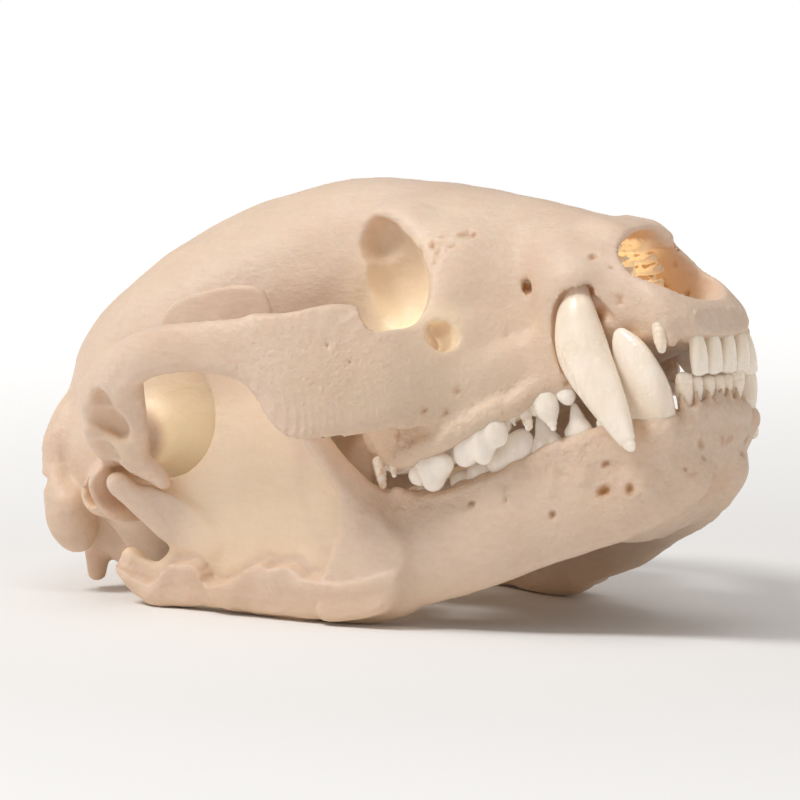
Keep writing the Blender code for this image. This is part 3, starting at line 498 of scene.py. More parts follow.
    # infraorbital canal
    f.sweep([(-22.0, 24.2, 10.6, 2.3, 1.7), (-31.8, 20.0, 10.4, 2.25, 1.9),
             (-36.0, 19.0, 11.6, 2.4, 2.0), (-41.0, 19.0, 14.0, 2.6, 2.4)], 1, 0.5, cut=True)
    # rough hollow under the root of the arch
    f.ball(-81.6, 39.2, 13.4, 3.5, 4.9, 3.4, 1, 1.3, cut=True, turn=-20)
    f.ball(-85.0, 37.4, 10.6, 2.6, 4.2, 2.0, 1, 1.2, cut=True)
    f.groove([(-85.4, 37.0, 14.4), (-82.6, 35.6, 12.2), (-81.6, 34.6, 9.6)], 1, -0.9, 0.8)
    f.groove([(-87.0, 37.6, 12.0), (-84.4, 36.2, 9.4), (-82.6, 33.6, 7.2)], 1, -0.7, 0.7)
    f.groove([(-79.4, 38.0, 15.4), (-78.8, 36.6, 12.4)], 1, 0.5, 0.5)
    f.ball(-80.0, 39.0, 17.0, 1.8, 2.4, 1.8, 1, 0.8, cut=True)
    # joint hollow
    f.sweep([(-88.3, 19.0, 4.9, 3.3, 3.3), (-88.3, 36.5, 6.0, 3.3, 3.3)], 1, 0.6, cut=True)
    # ear tube hole
    f.sweep([(-97.8, 32.0, 8.9, 2.5, 2.2), (-97.2, 22.0, 6.8, 2.3, 2.1),
             (-97.0, 17.0, 4.6, 2.0, 2.0)], 1, 0.5, cut=True)
    # throat passage and palate notch
    f.loft([(-52.0, 3.0, 10.5, 5.0, 0, 2.2), (-60.0, 4.9, 10.5, 3.6, 0, 2.3),
            (-70.0, 5.6, 6.4, -6.0, 0, 2.6), (-82.0, 5.6, 3.6, -8.0, 0, 2.6)], 0.8, cut=True)
    # hole for the spinal cord
    f.loft([(-86.0, 6.0, 20.0, 9.0, 0, 2.2), (-93.0, 9.4, 20.6, 5.6, 0, 2.2),
            (-103.0, 8.2, 16.6, 4.4, 0, 2.2), (-118.0, 7.4, 14.8, 3.2, 0, 2.2)], 0.7, cut=True)
    # sinus openings: in front of the eye, oval hole over the premolars
    f.sweep([(-19.4, 15.0, 13.7, 0.5, 0.95), (-21.2, 10.5, 13.6, 0.5, 0.95)], 1, 0.3, cut=True,
            upright=False)
    f.ball(-37.0, 13.2, 23.2, 1.5, 1.4, 1.1, 1, 0.8, cut=True)
    # edge between incisors and eye tooth, where the lower eye tooth passes
    f.sweep([(-11.5, 13.6, -0.6, 3.6, 3.4), (-8.6, 13.2, -0.6, 3.6, 3.6), (-5.6, 12.4, -2.4, 2.4, 2.8)],
            1, 1.2, cut=True)
    # socket of the eye tooth, a little wide in front of the root
    f.sweep([(-12.5, 13.5, 8.7, 2.5, 2.2), (-12.6, 13.9, 6.8, 3.5, 2.8),
             (-12.3, 14.4, 3.6, 4.1, 3.4), (-11.6, 15.1, -0.6, 4.2, 3.5)], 1, 0.3, cut=True,
            upright=False)
    f.sweep([(-11.5, 12.6, 10.7, 0.75, 1.7), (-10.6, 12.4, 9.4, 0.85, 1.7), (-9.9, 12.2, 7.4, 0.8, 1.7), (-8.9, 12.2, 5.4, 0.75, 1.7), (-8.0, 12.4, 3.8, 0.7, 1.7)], 1, 0.25, cut=True, upright=False)
    # lines and marks: sutures, crests, small holes
    f.groove([(-33.2, 14.6, 25.2), (-30.5, 13.9, 24.4), (-28.6, 13.9, 24.6), (-26.0, 13.4, 22.8)], 1, 0.28, 0.55)
    f.groove([(-26.0, 13.4, 22.8), (-22.5, 10.8, 23.2), (-17.0, 8.6, 21.4), (-11.0, 7.2, 18.4)], 1, 0.14, 0.55)
    f.groove([(-26.0, 13.4, 22.8), (-29.0, 8.0, 28.6), (-31.0, 3.0, 30.8)], 1, 0.16, 0.6)
    f.groove([(-8.0, 10.6, 17.0), (-10.4, 11.4, 11.5), (-9.2, 12.0, 6.0)], 1, 0.14, 0.6)
    f.groove([(-47.6, 12.6, 34.4), (-55.3, 12.6, 35.6), (-63.0, 14.6, 36.0), (-69.0, 15.4, 37.0),
              (-78.0, 15.6, 38.2), (-92.7, 10.0, 38.8), (-104.0, 3.0, 39.2)], 1, -0.32, 1.3)
    f.groove([(-49.4, 34.6, 10.5), (-56.0, 36.6, 14.8), (-66.0, 38.6, 17.6), (-76.0, 39.0, 16.8)],
             1, -0.22, 1.1)
    f.groove([(-68.5, 38.4, 24.0), (-74.0, 39.6, 19.5), (-79.0, 39.6, 16.0)], 1, 0.2, 0.6)
    f.groove([(-48.2, 10.5, 31.8), (-49.6, 10.8, 26.1), (-52.6, 10.4, 21.9), (-56.0, 9.0, 16.0)],
             1, -0.5, 1.4)
    for a, l, hh, r, dep in ((-20.3, 14.2, 3.0, 0.7, 0.5), (-38.4, 15.2, 25.0, 0.8, 1.0),
                             (-24.0, 14.9, 8.0, 0.6, 0.4), (-27.0, 16.0, 6.0, 0.6, 0.4),
                             (-42.5, 30.4, 13.0, 0.7, 0.6),
                             (-40.5, 29.2, 10.0, 0.6, 0.5), (-46.5, 32.6, 14.6, 0.6, 0.5),
                             (-57.0, 9.4, 14.0, 1.4, 2.0), (-63.0, 8.0, 9.0, 1.3, 1.6),
                             (-61.0, 11.0, 22.0, 0.8, 0.6), (-99.0, 23.6, 20.0, 0.8, 0.7)):
        f.pit(a, l, hh, r, dep)
    full = f.mirrored()
    full.sweep([(-13.2, 4.4, 19.1, 1.3, 1.3), (-10.1, 4.8, 17.3, 1.2, 1.2), (-7.9, 5.0, 15.7, 1.0, 1.0)], -1, 2.0, upright=False)
    # scroll bones inside the nose: thin stacked leaves a side and the middle wall
    g = full
    g.sweep([(-12.5, 0.0, 9.5, 6.0, 0.45), (-28.0, 0.0, 12.5, 8.5, 0.5)], 1, 0.3)
    for s in (1, -1):
        for c in range(6):
            b = 6.8 + 1.75 * c
            x = -9.6 - 0.45 * abs(c - 3)
            w = 2.5 - 0.25 * abs(c - 2.5)
            g.sweep([(x, s * 3.9, b + 0.3, 0.34, w * 0.75), (x - 1.6, s * 4.1, b + 0.1, 0.38, w),
                     (x - 4.0, s * 4.4, b + 0.8, 0.36, w * 1.05), (x - 9.0, s * 4.2, b + 2.2, 0.4, w),
                     (-26.0, s * 3.8, b + 5.0, 0.5, w)], 1, 0.45)
            g.sweep([(x - 0.4, s * (3.9 + w * 0.8), b + 0.3, 0.7, 0.4), (x - 6.0, s * (4.2 + w * 0.8), b + 1.4, 0.8, 0.4)],
                    1, 0.4)
    return g


# ------------------------------------------------------------------ mandible
BODY = [
    (-9.0, 5.0, -14.6, 6.2, 4.0), (-13.0, 7.4, -15.4, 7.0, 4.1), (-18.0, 9.7, -15.8, 7.5, 3.9),
    (-24.0, 11.8, -16.0, 7.5, 3.6), (-32.0, 14.2, -16.3, 7.3, 3.4), (-40.0, 16.4, -16.4, 7.3, 3.2),
    (-48.0, 18.5, -16.0, 7.5, 2.9), (-56.0, 20.4, -14.6, 8.4, 2.5), (-62.0, 22.0, -12.4, 8.6, 1.8),
]
SYMPHYSIS = [
    (-3.6, 4.6, -7.7, -11.5, 0.00, 2.5), (-5.4, 8.0, -7.6, -15.0, 0.05, 2.6),
    (-8.2, 10.4, -8.2, -18.2, 0.10, 2.6), (-11.0, 11.4, -8.7, -20.7, 0.14, 2.5),
    (-15.0, 11.4, -9.4, -22.4, 0.14, 2.4), (-19.0, 10.6, -11.5, -23.0, 0.10, 2.3),
    (-23.0, 8.5, -14.5, -23.0, 0.05, 2.2), (-25.0, 5.0, -17.5, -22.0, 0.00, 2.2),
]
RAMUS = [
    (-49.0, -9.0), (-52.5, -4.0), (-54.6, 2.0), (-55.8, 9.0), (-56.8, 16.0), (-57.0, 21.0),
    (-57.6, 25.8), (-60.2, 27.6), (-66.0, 28.8), (-72.6, 29.2), (-76.6, 27.2), (-76.0, 24.2),
    (-72.4, 20.4), (-70.6, 16.0), (-70.8, 12.0), (-73.0, 8.4), (-77.0, 6.2), (-82.0, 5.6),
    (-86.0, 6.6), (-89.6, 5.6), (-90.0, 2.6), (-88.0, 0.0), (-86.2, -2.2), (-86.4, -3.8),
    (-89.2, -4.8), (-92.0, -3.6), (-94.4, -1.8), (-95.8, -2.8), (-95.2, -6.0), (-92.6, -9.4),
    (-89.0, -11.2), (-83.0, -12.8), (-77.0, -15.2), (-70.0, -18.0), (-62.0, -21.0),
    (-57.0, -22.6), (-50.0, -22.4), (-46.0, -16.0),
]


def ramus_side(a, h):
    t = np.clip((-46.0 - a) / 30.0, 0, 1)
    l = 18.4 + 7.2 * (1 - (1 - t) ** 2)
    l = l + 0.9 * np.clip((-76.0 - a) / 12.0, 0, 1)
    return l + 0.05 * np.maximum(h, 0)


def polygon_distance(A, H, poly):
    d = np.full(A.shape, 1e9)
    inside = np.zeros(A.shape, bool)
    n = len(poly)
    for i in range(n):
        x0, y0 = poly[i]
        x1, y1 = poly[(i + 1) % n]
        ex, ey = x1 - x0, y1 - y0
        t = np.clip(((A - x0) * ex + (H - y0) * ey) / (ex * ex + ey * ey), 0, 1)
        d = np.minimum(d, (A - x0 - t * ex) ** 2 + (H - y0 - t * ey) ** 2)
        c = ((y0 > H) != (y1 > H)) & (A < ex * (H - y0) / (ey if ey else 1e-9) + x0)
        inside ^= c
    return np.where(inside, -np.sqrt(d), np.sqrt(d))


FOOT = [(-97.0, -2.0), (-93.0, -5.0), (-90.0, -7.4), (-88.2, -7.9), (-86.3, -6.5), (-84.6, -5.9), (-82.7, -6.5),
        (-80.6, -6.9), (-79.4, -8.2), (-78.8, -10.6), (-77.0, -11.3), (-74.1, -11.4), (-72.2, -10.9),
        (-69.9, -10.5), (-67.7, -10.6), (-66.5, -11.8), (-65.0, -11.9), (-63.4, -12.2), (-62.2, -13.2),
        (-61.2, -14.6), (-58.8, -15.6), (-56.5, -16.8), (-50.0, -17.6)]
FRONT = [(-20.0, -61.5), (-16.0, -59.6), (-13.4, -57.6), (-11.2, -56.2), (-9.2, -55.2), (-6.2, -54.2), (-3.0, -54.6),
         (2.3, -54.6), (8.0, -56.2), (14.0, -57.6), (20.0, -58.8), (27.0, -61.0)]


def build_mandible():
    h = 0.42
    f = Field((-99.0, h / 2, -27.0), (0.0, 38.0, 34.0), h)
    f.loft(SYMPHYSIS, 0.0)
    f.sweep(BODY, 1, 2.2)
    # rising plate
    p = resample([q + (0.0, 0.0, 0.0) for q in RAMUS + RAMUS[:1]], 1.0)[:-1, :2]
    s = f.block((-99, 14, -25), (-44, 34, 34))
    A, L, H = f.grid(s)
    d2 = polygon_distance(A[:, 0] + 0 * H[0, 0][None, :], 0 * A[:, 0] + H[0, 0][None, :], [tuple(q) for q in p])
    d2 = d2[:, None, :]
    side = ramus_side(A, H)
    # the outer face steps out below a scalloped line and in front of the muscle hollow
    foot = np.interp(A, [r[0] for r in FOOT], [r[1] for r in FOOT])
    front = np.interp(H, [r[0] for r in FRONT], [r[1] for r in FRONT])
    raised = np.maximum(ease(foot - H, -0.3, 0.7) * (1 - 0.75 * ease(foot - H, 1.0, 7.0)),
                        0.8 * ease(A - front, -0.9, 1.5) * (1 - ease(H, 8, 20)))
    thick = 0.85 - 0.3 * ease(H, 14, 24) + 0.7 * ease(A, -56, -50) + 0.6 * ease(-H, 9, 18)
    dl = np.maximum(L - (side + thick + 2.5 * raised), side - thick - L)
    k = 1.0
    g = np.clip(0.5 - 0.5 * (d2 - dl) / k, 0, 1)
    d = d2 + (dl - d2) * g + k * g * (1 - g)
    f.mix(s, d.astype(np.float32), 2.0)
    f.sweep([(-13.0, 10.6, -10.9, 2.8, 2.6), (-18.0, 11.8, -10.6, 2.9, 2.3), (-24.0, 12.7, -10.9, 2.9, 2.2),
             (-30.0, 13.8, -11.6, 2.9, 2.3), (-36.0, 14.6, -12.0, 2.9, 2.4), (-43.0, 15.6, -11.4, 2.9, 2.4),
             (-50.0, 17.4, -8.9, 2.7, 2.2)], 1, 1.6, power=3.0)
    f.sweep([(-13.6, 12.0, -9.4, 1.3, 1.1), (-18.0, 12.8, -9.0, 1.3, 1.2), (-22.0, 13.6, -9.2, 1.4, 1.3),
             (-26.4, 14.5, -9.8, 1.4, 1.3), (-30.0, 15.6, -10.3, 1.4, 1.3), (-34.0, 16.4, -10.6, 1.3, 1.2),
             (-39.0, 17.2, -10.2, 1.2, 1.1), (-44.0, 17.8, -9.7, 1.2, 1.0), (-48.4, 18.4, -7.2, 1.1, 1.0)], 1, 0.6)
    # condyle and neck
    f.sweep([(-88.3, 21.0, 4.0, 2.0, 2.1), (-88.3, 26.5, 4.9, 2.3, 2.3),
             (-87.6, 31.2, 6.0, 1.8, 1.8), (-86.9, 33.2, 6.8, 1.3, 1.4)], 1, 0.8)
    f.sweep([(-86.6, 32.8, 6.6, 1.9, 1.4), (-86.2, 31.0, 4.0, 2.1, 1.6), (-85.4, 29.2, 0.9, 2.0, 1.6),
             (-84.6, 27.8, -1.8, 1.7, 1.5), (-82.4, 26.6, -4.4, 1.0, 1.2)], 1, 1.0, upright=False)
    f.sweep([(-87.6, 22.4, 3.6, 1.5, 1.5), (-85.6, 24.4, 1.2, 1.2, 1.3), (-82.6, 25.6, -2.0, 1.0, 1.1)],
            1, 1.4, upright=False)
    f.sweep([(-85.0, 29.6, 3.8, 2.2, 1.1), (-83.2, 28.0, 0.8, 3.4, 1.1), (-81.2, 26.8, -3.0, 3.6, 1.0),
             (-79.6, 26.0, -7.0, 3.0, 0.9)], 1, 2.0, upright=False)
    # lower rim, hooked angle
    f.sweep([(-94.6, 26.8, -3.0, 1.2, 1.5), (-93.4, 26.9, -6.8, 1.6, 1.9),
             (-89.0, 26.8, -10.2, 1.5, 2.0), (-80.0, 25.8, -12.6, 1.6, 1.9),
             (-70.0, 23.8, -16.8, 1.9, 2.1), (-60.0, 21.2, -20.2, 2.4, 2.4),
             (-52.0, 19.2, -20.6, 2.6, 2.6)], 1, 1.6)
    # front rim of the plate
    f.sweep([(-50.0, 19.6, -9.5, 1.8, 2.2), (-52.6, 21.8, -4.5, 1.7, 2.2), (-55.0, 23.9, 2.0, 1.5, 1.8),
             (-57.0, 25.0, 12.0, 1.2, 0.9), (-58.0, 25.5, 16.0, 0.9, 0.7)],
            1, 1.4, upright=False)
    # inner side hollow and the canal's mouth
    f.ball(-72.0, 20.8, -4.0, 12.0, 2.4, 7.0, 1, 2.0, cut=True)
    f.sweep([(-80.0, 22.0, -4.4, 1.3, 1.3), (-74.0, 23.6, -8.0, 1.2, 1.2)], 1, 0.8, cut=True)
    # underside of the chin, flat between the two bodies; chin's front
    f.ball(-30.0, 0.0, -18.0, 9.5, 6.0, 8.0, 1, 2.0, cut=True)
    f.ball(-6.0, 0.0, -20.5, 5.0, 2.2, 3.4, 1, 1.5, cut=True)
    # sockets' rims
    for a, l in ((-18.5, 12.2), (-23.9, 12.9), (-29.2, 13.7), (-34.6, 14.2), (-38.6, 14.5), (-45.0, 15.5)):
        f.sweep([(a, l + 1.2, -14.0, 1.2, 1.2), (a, l + 0.7, -9.6, 1.3, 1.3)], 1, 1.2, upright=False)
    f.sweep([(-12.5, 9.0, -18.0, 2.4, 2.2), (-9.8, 9.4, -13.6, 3.2, 2.8), (-8.2, 9.7, -10.2, 3.9, 3.3)],
            1, 1.6, upright=False)
    for a, l, hh in ((-3.4, 0.5, -7.2), (-3.5, 2.3, -7.0), (-3.7, 4.6, -6.9), (-4.4, 6.9, -7.0)):
        f.sweep([(a - 0.3, l, hh - 4.0, 0.8, 0.6), (a - 0.1, l, hh - 1.0, 0.6, 0.45), (a - 0.1, l, hh + 0.3, 0.35, 0.25)],
                1, 0.6, upright=False)
    for a, l in ((-4.2, 1.15), (-4.5, 3.4), (-4.5, 5.6)):
        f.sweep([(a - 0.2, l, -13.5, 0.5, 0.5), (a + 0.5, l, -9.6, 0.9, 0.85)], 1, 0.9, upright=False)
    f.sweep([(-2.9, 4.3, -12.6, 0.35, 0.3), (-2.6, 4.3, -10.2, 0.35, 0.3)], 1, 0.4, cut=True, upright=False)
    f.sweep([(-3.4, 6.9, -12.8, 0.35, 0.3), (-3.0, 6.9, -10.4, 0.35, 0.3)], 1, 0.4, cut=True, upright=False)
    # small holes and marks
    for a, l, hh, r, dep in ((-36.4, 18.4, -12.3, 0.45, 0.8), (-5.4, 4.6, -15.5, 0.4, 0.8),
                             (-6.6, 7.4, -16.6, 0.4, 0.7), (-8.4, 9.6, -18.0, 0.4, 0.6),
                             (-21.6, 14.8, -12.6, 0.5, 0.7), (-30.6, 16.6, -13.4, 0.4, 0.6)):
        f.pit(a, l, hh, r, dep)
    f.groove([(-4.1, 0, -9), (-6.5, 0, -13.5), (-11.5, 0, -19.4), (-17, 0, -22.4), (-24, 0, -22.8)],
             1, 0.45, 0.6)
    # worn feet: the jaw stands on them
    A, L, H = f.grid((slice(None), slice(None), slice(None)))
    z = Z_FRONT + A * SP + H * CP
    f.d = np.maximum(f.d, (0.02 - z).astype(np.float32))
    return f.mirrored()


# ------------------------------------------------------------------ teeth
def tooth_field(lo, hi, step=0.17):
    return Field(lo, hi, step)


def nodes_of(rings):
    return [(a, l, hh, ra, rl) for a, l, hh, ra, rl in rings]


def canine(upper):
    if upper:
        n = [(-13.6, 10.0, 13.0, 1.2, 1.1), (-13.0, 11.9, 9.8, 1.9, 1.6), (-12.8, 13.3, 7.4, 2.9, 2.3),
             (-12.7, 14.1, 3.8, 3.65, 3.0), (-11.8, 14.9, 0.4, 3.65, 3.0), (-10.1, 15.6, -4.0, 3.05, 2.5),
             (-8.8, 15.9, -8.0, 2.25, 1.9), (-7.9, 16.0, -11.4, 1.3, 1.1), (-7.5, 16.0, -12.8, 0.65, 0.6)]
        f = tooth_field((-18, 9, -15), (-5, 20, 15))
        f.sweep(n, 1, 0.0, upright=False)
        # shallow flutes down the crown
        f.groove([(-13.6, 17.2, 1.0), (-11.8, 18.0, -5.0), (-10.0, 17.4, -10.0)], 1, 0.12, 0.5)
        f.groove([(-9.6, 16.8, 1.0), (-9.0, 17.4, -5.0), (-8.6, 16.8, -9.0)], 1, 0.1, 0.45)
    else:
        n = [(-12.5, 8.2, -18.0, 1.6, 1.2), (-10.4, 8.8, -13.6, 2.4, 1.9), (-8.2, 9.5, -9.6, 3.3, 2.7),
             (-7.3, 10.1, -6.0, 3.4, 2.85), (-7.2, 10.6, -3.0, 3.1, 2.6), (-7.4, 11.1, 0.0, 2.5, 2.1),
             (-7.6, 11.5, 1.8, 1.7, 1.45), (-7.7, 11.6, 2.7, 1.1, 1.0)]
        f = tooth_field((-17, 4, -21), (-2, 16, 6))
        f.sweep(n, 1, 0.0, upright=False)
        f.groove([(-5.6, 12.2, -8.0), (-5.6, 12.6, -3.0), (-6.8, 12.6, 1.0)], 1, 0.12, 0.45)
    return f


def incisor(a, l, neck, ta, tl, tip, wide, root, back, notch=True):
    """Chisel crown: broad edge, narrow neck, long single root."""
    d = 1 if tip > neck else -1
    f = tooth_field((min(a + back, ta) - 2.5, min(l, tl) - 2.6, min(tip, neck - d * root) - 1.2),
                    (max(a, ta) + 2.2, max(l, tl) + 2.6, max(tip, neck - d * root) + 1.2))
    n = [(a + back, l * 0.97, neck - d * root, 0.75, 0.6), (a + back * 0.3, l, neck - d * root * 0.4, 0.95, 0.75),
         (a, l, neck + 0.08 * (tip - neck), 1.0, wide * 0.66),
         (a * 0.45 + ta * 0.55, tl, neck + 0.55 * (tip - neck), 1.05, wide * 0.90),
         (ta, tl, neck + 0.88 * (tip - neck), 0.72, wide * 0.98)]
    f.sweep(n, 1, 0.0, upright=False, power=2.5)
    if notch:
        f.groove([(ta + 0.7, tl - 0.35 * wide, tip), (ta + 0.9, tl - 0.3 * wide, neck + 0.5 * (tip - neck))],
                 1, 0.1, 0.32)
        f.pit(ta, tl - 0.38 * wide, tip - d * 0.05, 0.32, 0.35)
    return f


def cone(f, a, l, base, tip, ra, rl, side=1, k=0.5, lean=(0.0, 0.0), blunt=0.28):
    """A cusp: a rounded cone from base height to tip height."""
    n = 5
    rows = []
    for i in range(n):
        t = i / (n - 1)
        e = (1 - t) ** 0.85
        rows.append((a + lean[0] * t, l + lean[1] * t, base + (tip - base) * t,
                     ra * (blunt + (1 - blunt) * e), rl * (blunt + (1 - blunt) * e)))
    f.sweep(rows, side, k, upright=False)


def lumps(f, list_, k=0.7):
    """Rounded swellings that merge into one crown."""
    for a, l, hh, ra, rl, rh in list_:
        f.ball(a, l, hh, ra, rl, rh, 1, k)


def roots(f, list_, neck, d, long_):
    for a, l, ra, rl in list_:
        f.sweep([(a, l, neck + d * 0.2, ra, rl), (a, l - 0.2, neck - d * long_ * 0.5, ra * 0.85, rl * 0.85),
                 (a, l - 0.5, neck - d * long_, ra * 0.4, rl * 0.4)], 1, 0.5, upright=False)


def block_for(a0, a1, l0, l1, h0, h1):
    return tooth_field((a0, l0, h0), (a1, l1, h1), 0.17)


def upper_tooth(kind):
    if kind == "incisor_1":
        return incisor(-1.1, 1.55, 0.0, -2.0, 1.5, -5.0, 1.46, 4.4, -3.2)
    if kind == "incisor_2":
        return incisor(-1.3, 4.6, 0.0, -2.1, 4.5, -5.0, 1.48, 4.4, -3.2)
    if kind == "incisor_3":
        return incisor(-2.8, 7.6, 0.2, -3.0, 7.6, -5.2, 1.30, 4.4, -2.6, notch=False)
    if kind == "incisor_3_stub":
        f = block_for(-8, -1, 5, 11.5, -2.4, 6.6)
        f.sweep([(-4.4, 7.6, 5.2, 0.6, 0.6), (-3.7, 8.6, 2.4, 0.9, 0.95), (-3.6, 9.1, 0.4, 0.85, 0.9),
                 (-3.7, 9.2, -0.7, 0.55, 0.6)], 1, 0.0, upright=False)
        f.ball(-2.9, 9.6, -1.2, 0.7, 0.8, 0.8, 1, 0.2, cut=True)
        return f
    if kind == "canine":
        return canine(True)
    if kind == "premolar_1":
        f = block_for(-20.5, -14.5, 11, 17, -5.2, 4)
        roots(f, [(-17.4, 14.0, 0.85, 0.75)], -1.4, -1, 3.4)
        lumps(f, [(-17.3, 14.2, -2.7, 1.25, 1.0, 1.35), (-18.2, 14.1, -2.2, 0.8, 0.8, 0.8)])
        return f
    if kind == "premolar_2":
        f = block_for(-25.5, -17, 12, 18.5, -7.8, 5)
        roots(f, [(-19.8, 14.7, 1.0, 1.0), (-22.3, 14.8, 0.9, 0.95)], -1.4, -1, 4.6)
        lumps(f, [(-21.2, 15.0, -2.2, 2.3, 1.55, 1.4), (-20.6, 15.1, -3.4, 1.75, 1.4, 1.7),
                  (-22.8, 14.9, -2.9, 1.0, 1.1, 1.0)])
        cone(f, -20.4, 15.15, -3.4, -6.4, 1.4, 1.15, k=0.8, lean=(0.2, 0.15), blunt=0.34)
        return f
    if kind == "premolar_3":
        f = block_for(-29.5, -21, 13, 19.5, -6.8, 5)
        roots(f, [(-24.2, 15.8, 1.0, 1.0), (-26.8, 15.8, 0.9, 1.0)], -1.8, -1, 4.8)
        lumps(f, [(-25.4, 15.9, -2.2, 2.2, 1.5, 1.1), (-27.3, 15.9, -2.6, 0.9, 1.2, 1.1)])
        # one splinter of the crown still stands, the rest is a broken slope
        cone(f, -23.6, 16.3, -2.0, -5.2, 1.0, 1.0, k=0.4, lean=(0.2, 0.1), blunt=0.6)
        cone(f, -26.2, 16.5, -2.0, -4.0, 0.6, 0.6, k=0.3, lean=(0.5, 0.0), blunt=0.5)
        f.ball(-22.8, 16.6, -5.9, 0.9, 1.4, 0.8, 1, 0.15, cut=True)
        f.ball(-25.2, 17.4, -3.6, 0.9, 1.2, 1.0, 1, 0.2, cut=True)
        f.ball(-27.6, 17.0, -3.9, 1.0, 1.0, 0.9, 1, 0.2, cut=True)
        return f
    if kind == "premolar_4":
        f = block_for(-38.5, -24, 11, 23.5, -10, 5)
        roots(f, [(-28.2, 17.6, 1.2, 1.1), (-33.2, 18.2, 1.3, 1.1), (-31.0, 14.8, 1.3, 1.1)], -2.8, -1, 3.4)
        lumps(f, [(-27.1, 18.9, -4.5, 1.6, 1.5, 2.2), (-29.4, 18.9, -4.8, 2.2, 1.8, 2.2),
                  (-32.2, 18.8, -5.0, 2.8, 2.0, 2.4), (-30.2, 19.2, -6.7, 1.4, 1.2, 1.6),
                  (-33.9, 19.0, -6.0, 1.3, 1.3, 1.5), (-29.8, 16.0, -3.5, 2.4, 2.4, 1.3),
                  (-33.0, 16.0, -3.5, 2.2, 2.2, 1.3)], 0.9)
        f.groove([(-28.3, 20.8, -2.4), (-28.4, 20.6, -6.8)], 1, 0.30, 0.7)
        f.groove([(-32.4, 21.0, -3.4), (-32.2, 20.6, -7.6)], 1, 0.22, 0.6)
        return f
    if kind == "molar_1":
        f = block_for(-45.5, -33.5, 11.5, 24.5, -10.8, 4)
        roots(f, [(-37.0, 18.4, 1.3, 1.1), (-41.4, 18.2, 1.2, 1.1), (-39.4, 15.0, 1.4, 1.2)], -3.6, -1, 4.0)
        lumps(f, [(-38.6, 20.2, -6.0, 2.9, 2.4, 2.3), (-36.3, 20.6, -6.2, 1.35, 1.3, 1.35),
                  (-39.2, 20.4, -7.9, 1.5, 1.5, 1.4), (-41.4, 20.0, -6.3, 1.8, 1.8, 1.6),
                  (-38.4, 16.8, -4.6, 2.5, 2.6, 1.5), (-41.4, 16.8, -4.6, 2.0, 2.4, 1.4)], 0.8)
        f.groove([(-37.6, 22.2, -4.2), (-37.5, 21.8, -8.0)], 1, 0.16, 0.6)
        return f
    if kind == "molar_2":
        f = block_for(-52, -42, 12, 22.5, -8.4, 4)
        roots(f, [(-45.4, 18.6, 1.0, 1.0), (-48.6, 18.6, 0.9, 0.9), (-46.8, 15.2, 1.1, 1.0)], -2.2, -1, 4.6)
        lumps(f, [(-46.6, 17.0, -3.5, 2.6, 2.8, 1.3)])
        # broken outer wall, two fluted stumps
        cone(f, -48.9, 19.6, -2.4, -5.6, 1.0, 0.9, k=0.3, lean=(0.0, 0.4), blunt=0.65)
        cone(f, -46.4, 19.4, -2.4, -4.9, 0.8, 0.8, k=0.3, lean=(-0.2, 0.3), blunt=0.5)
        f.ball(-47.6, 20.8, -3.6, 0.7, 1.0, 1.8, 1, 0.2, cut=True)
        f.ball(-48.9, 20.9, -5.8, 0.9, 0.8, 0.7, 1, 0.15, cut=True)
        f.groove([(-49.6, 20.6, -2.4), (-49.4, 20.8, -5.4)], 1, 0.25, 0.3)
        return f


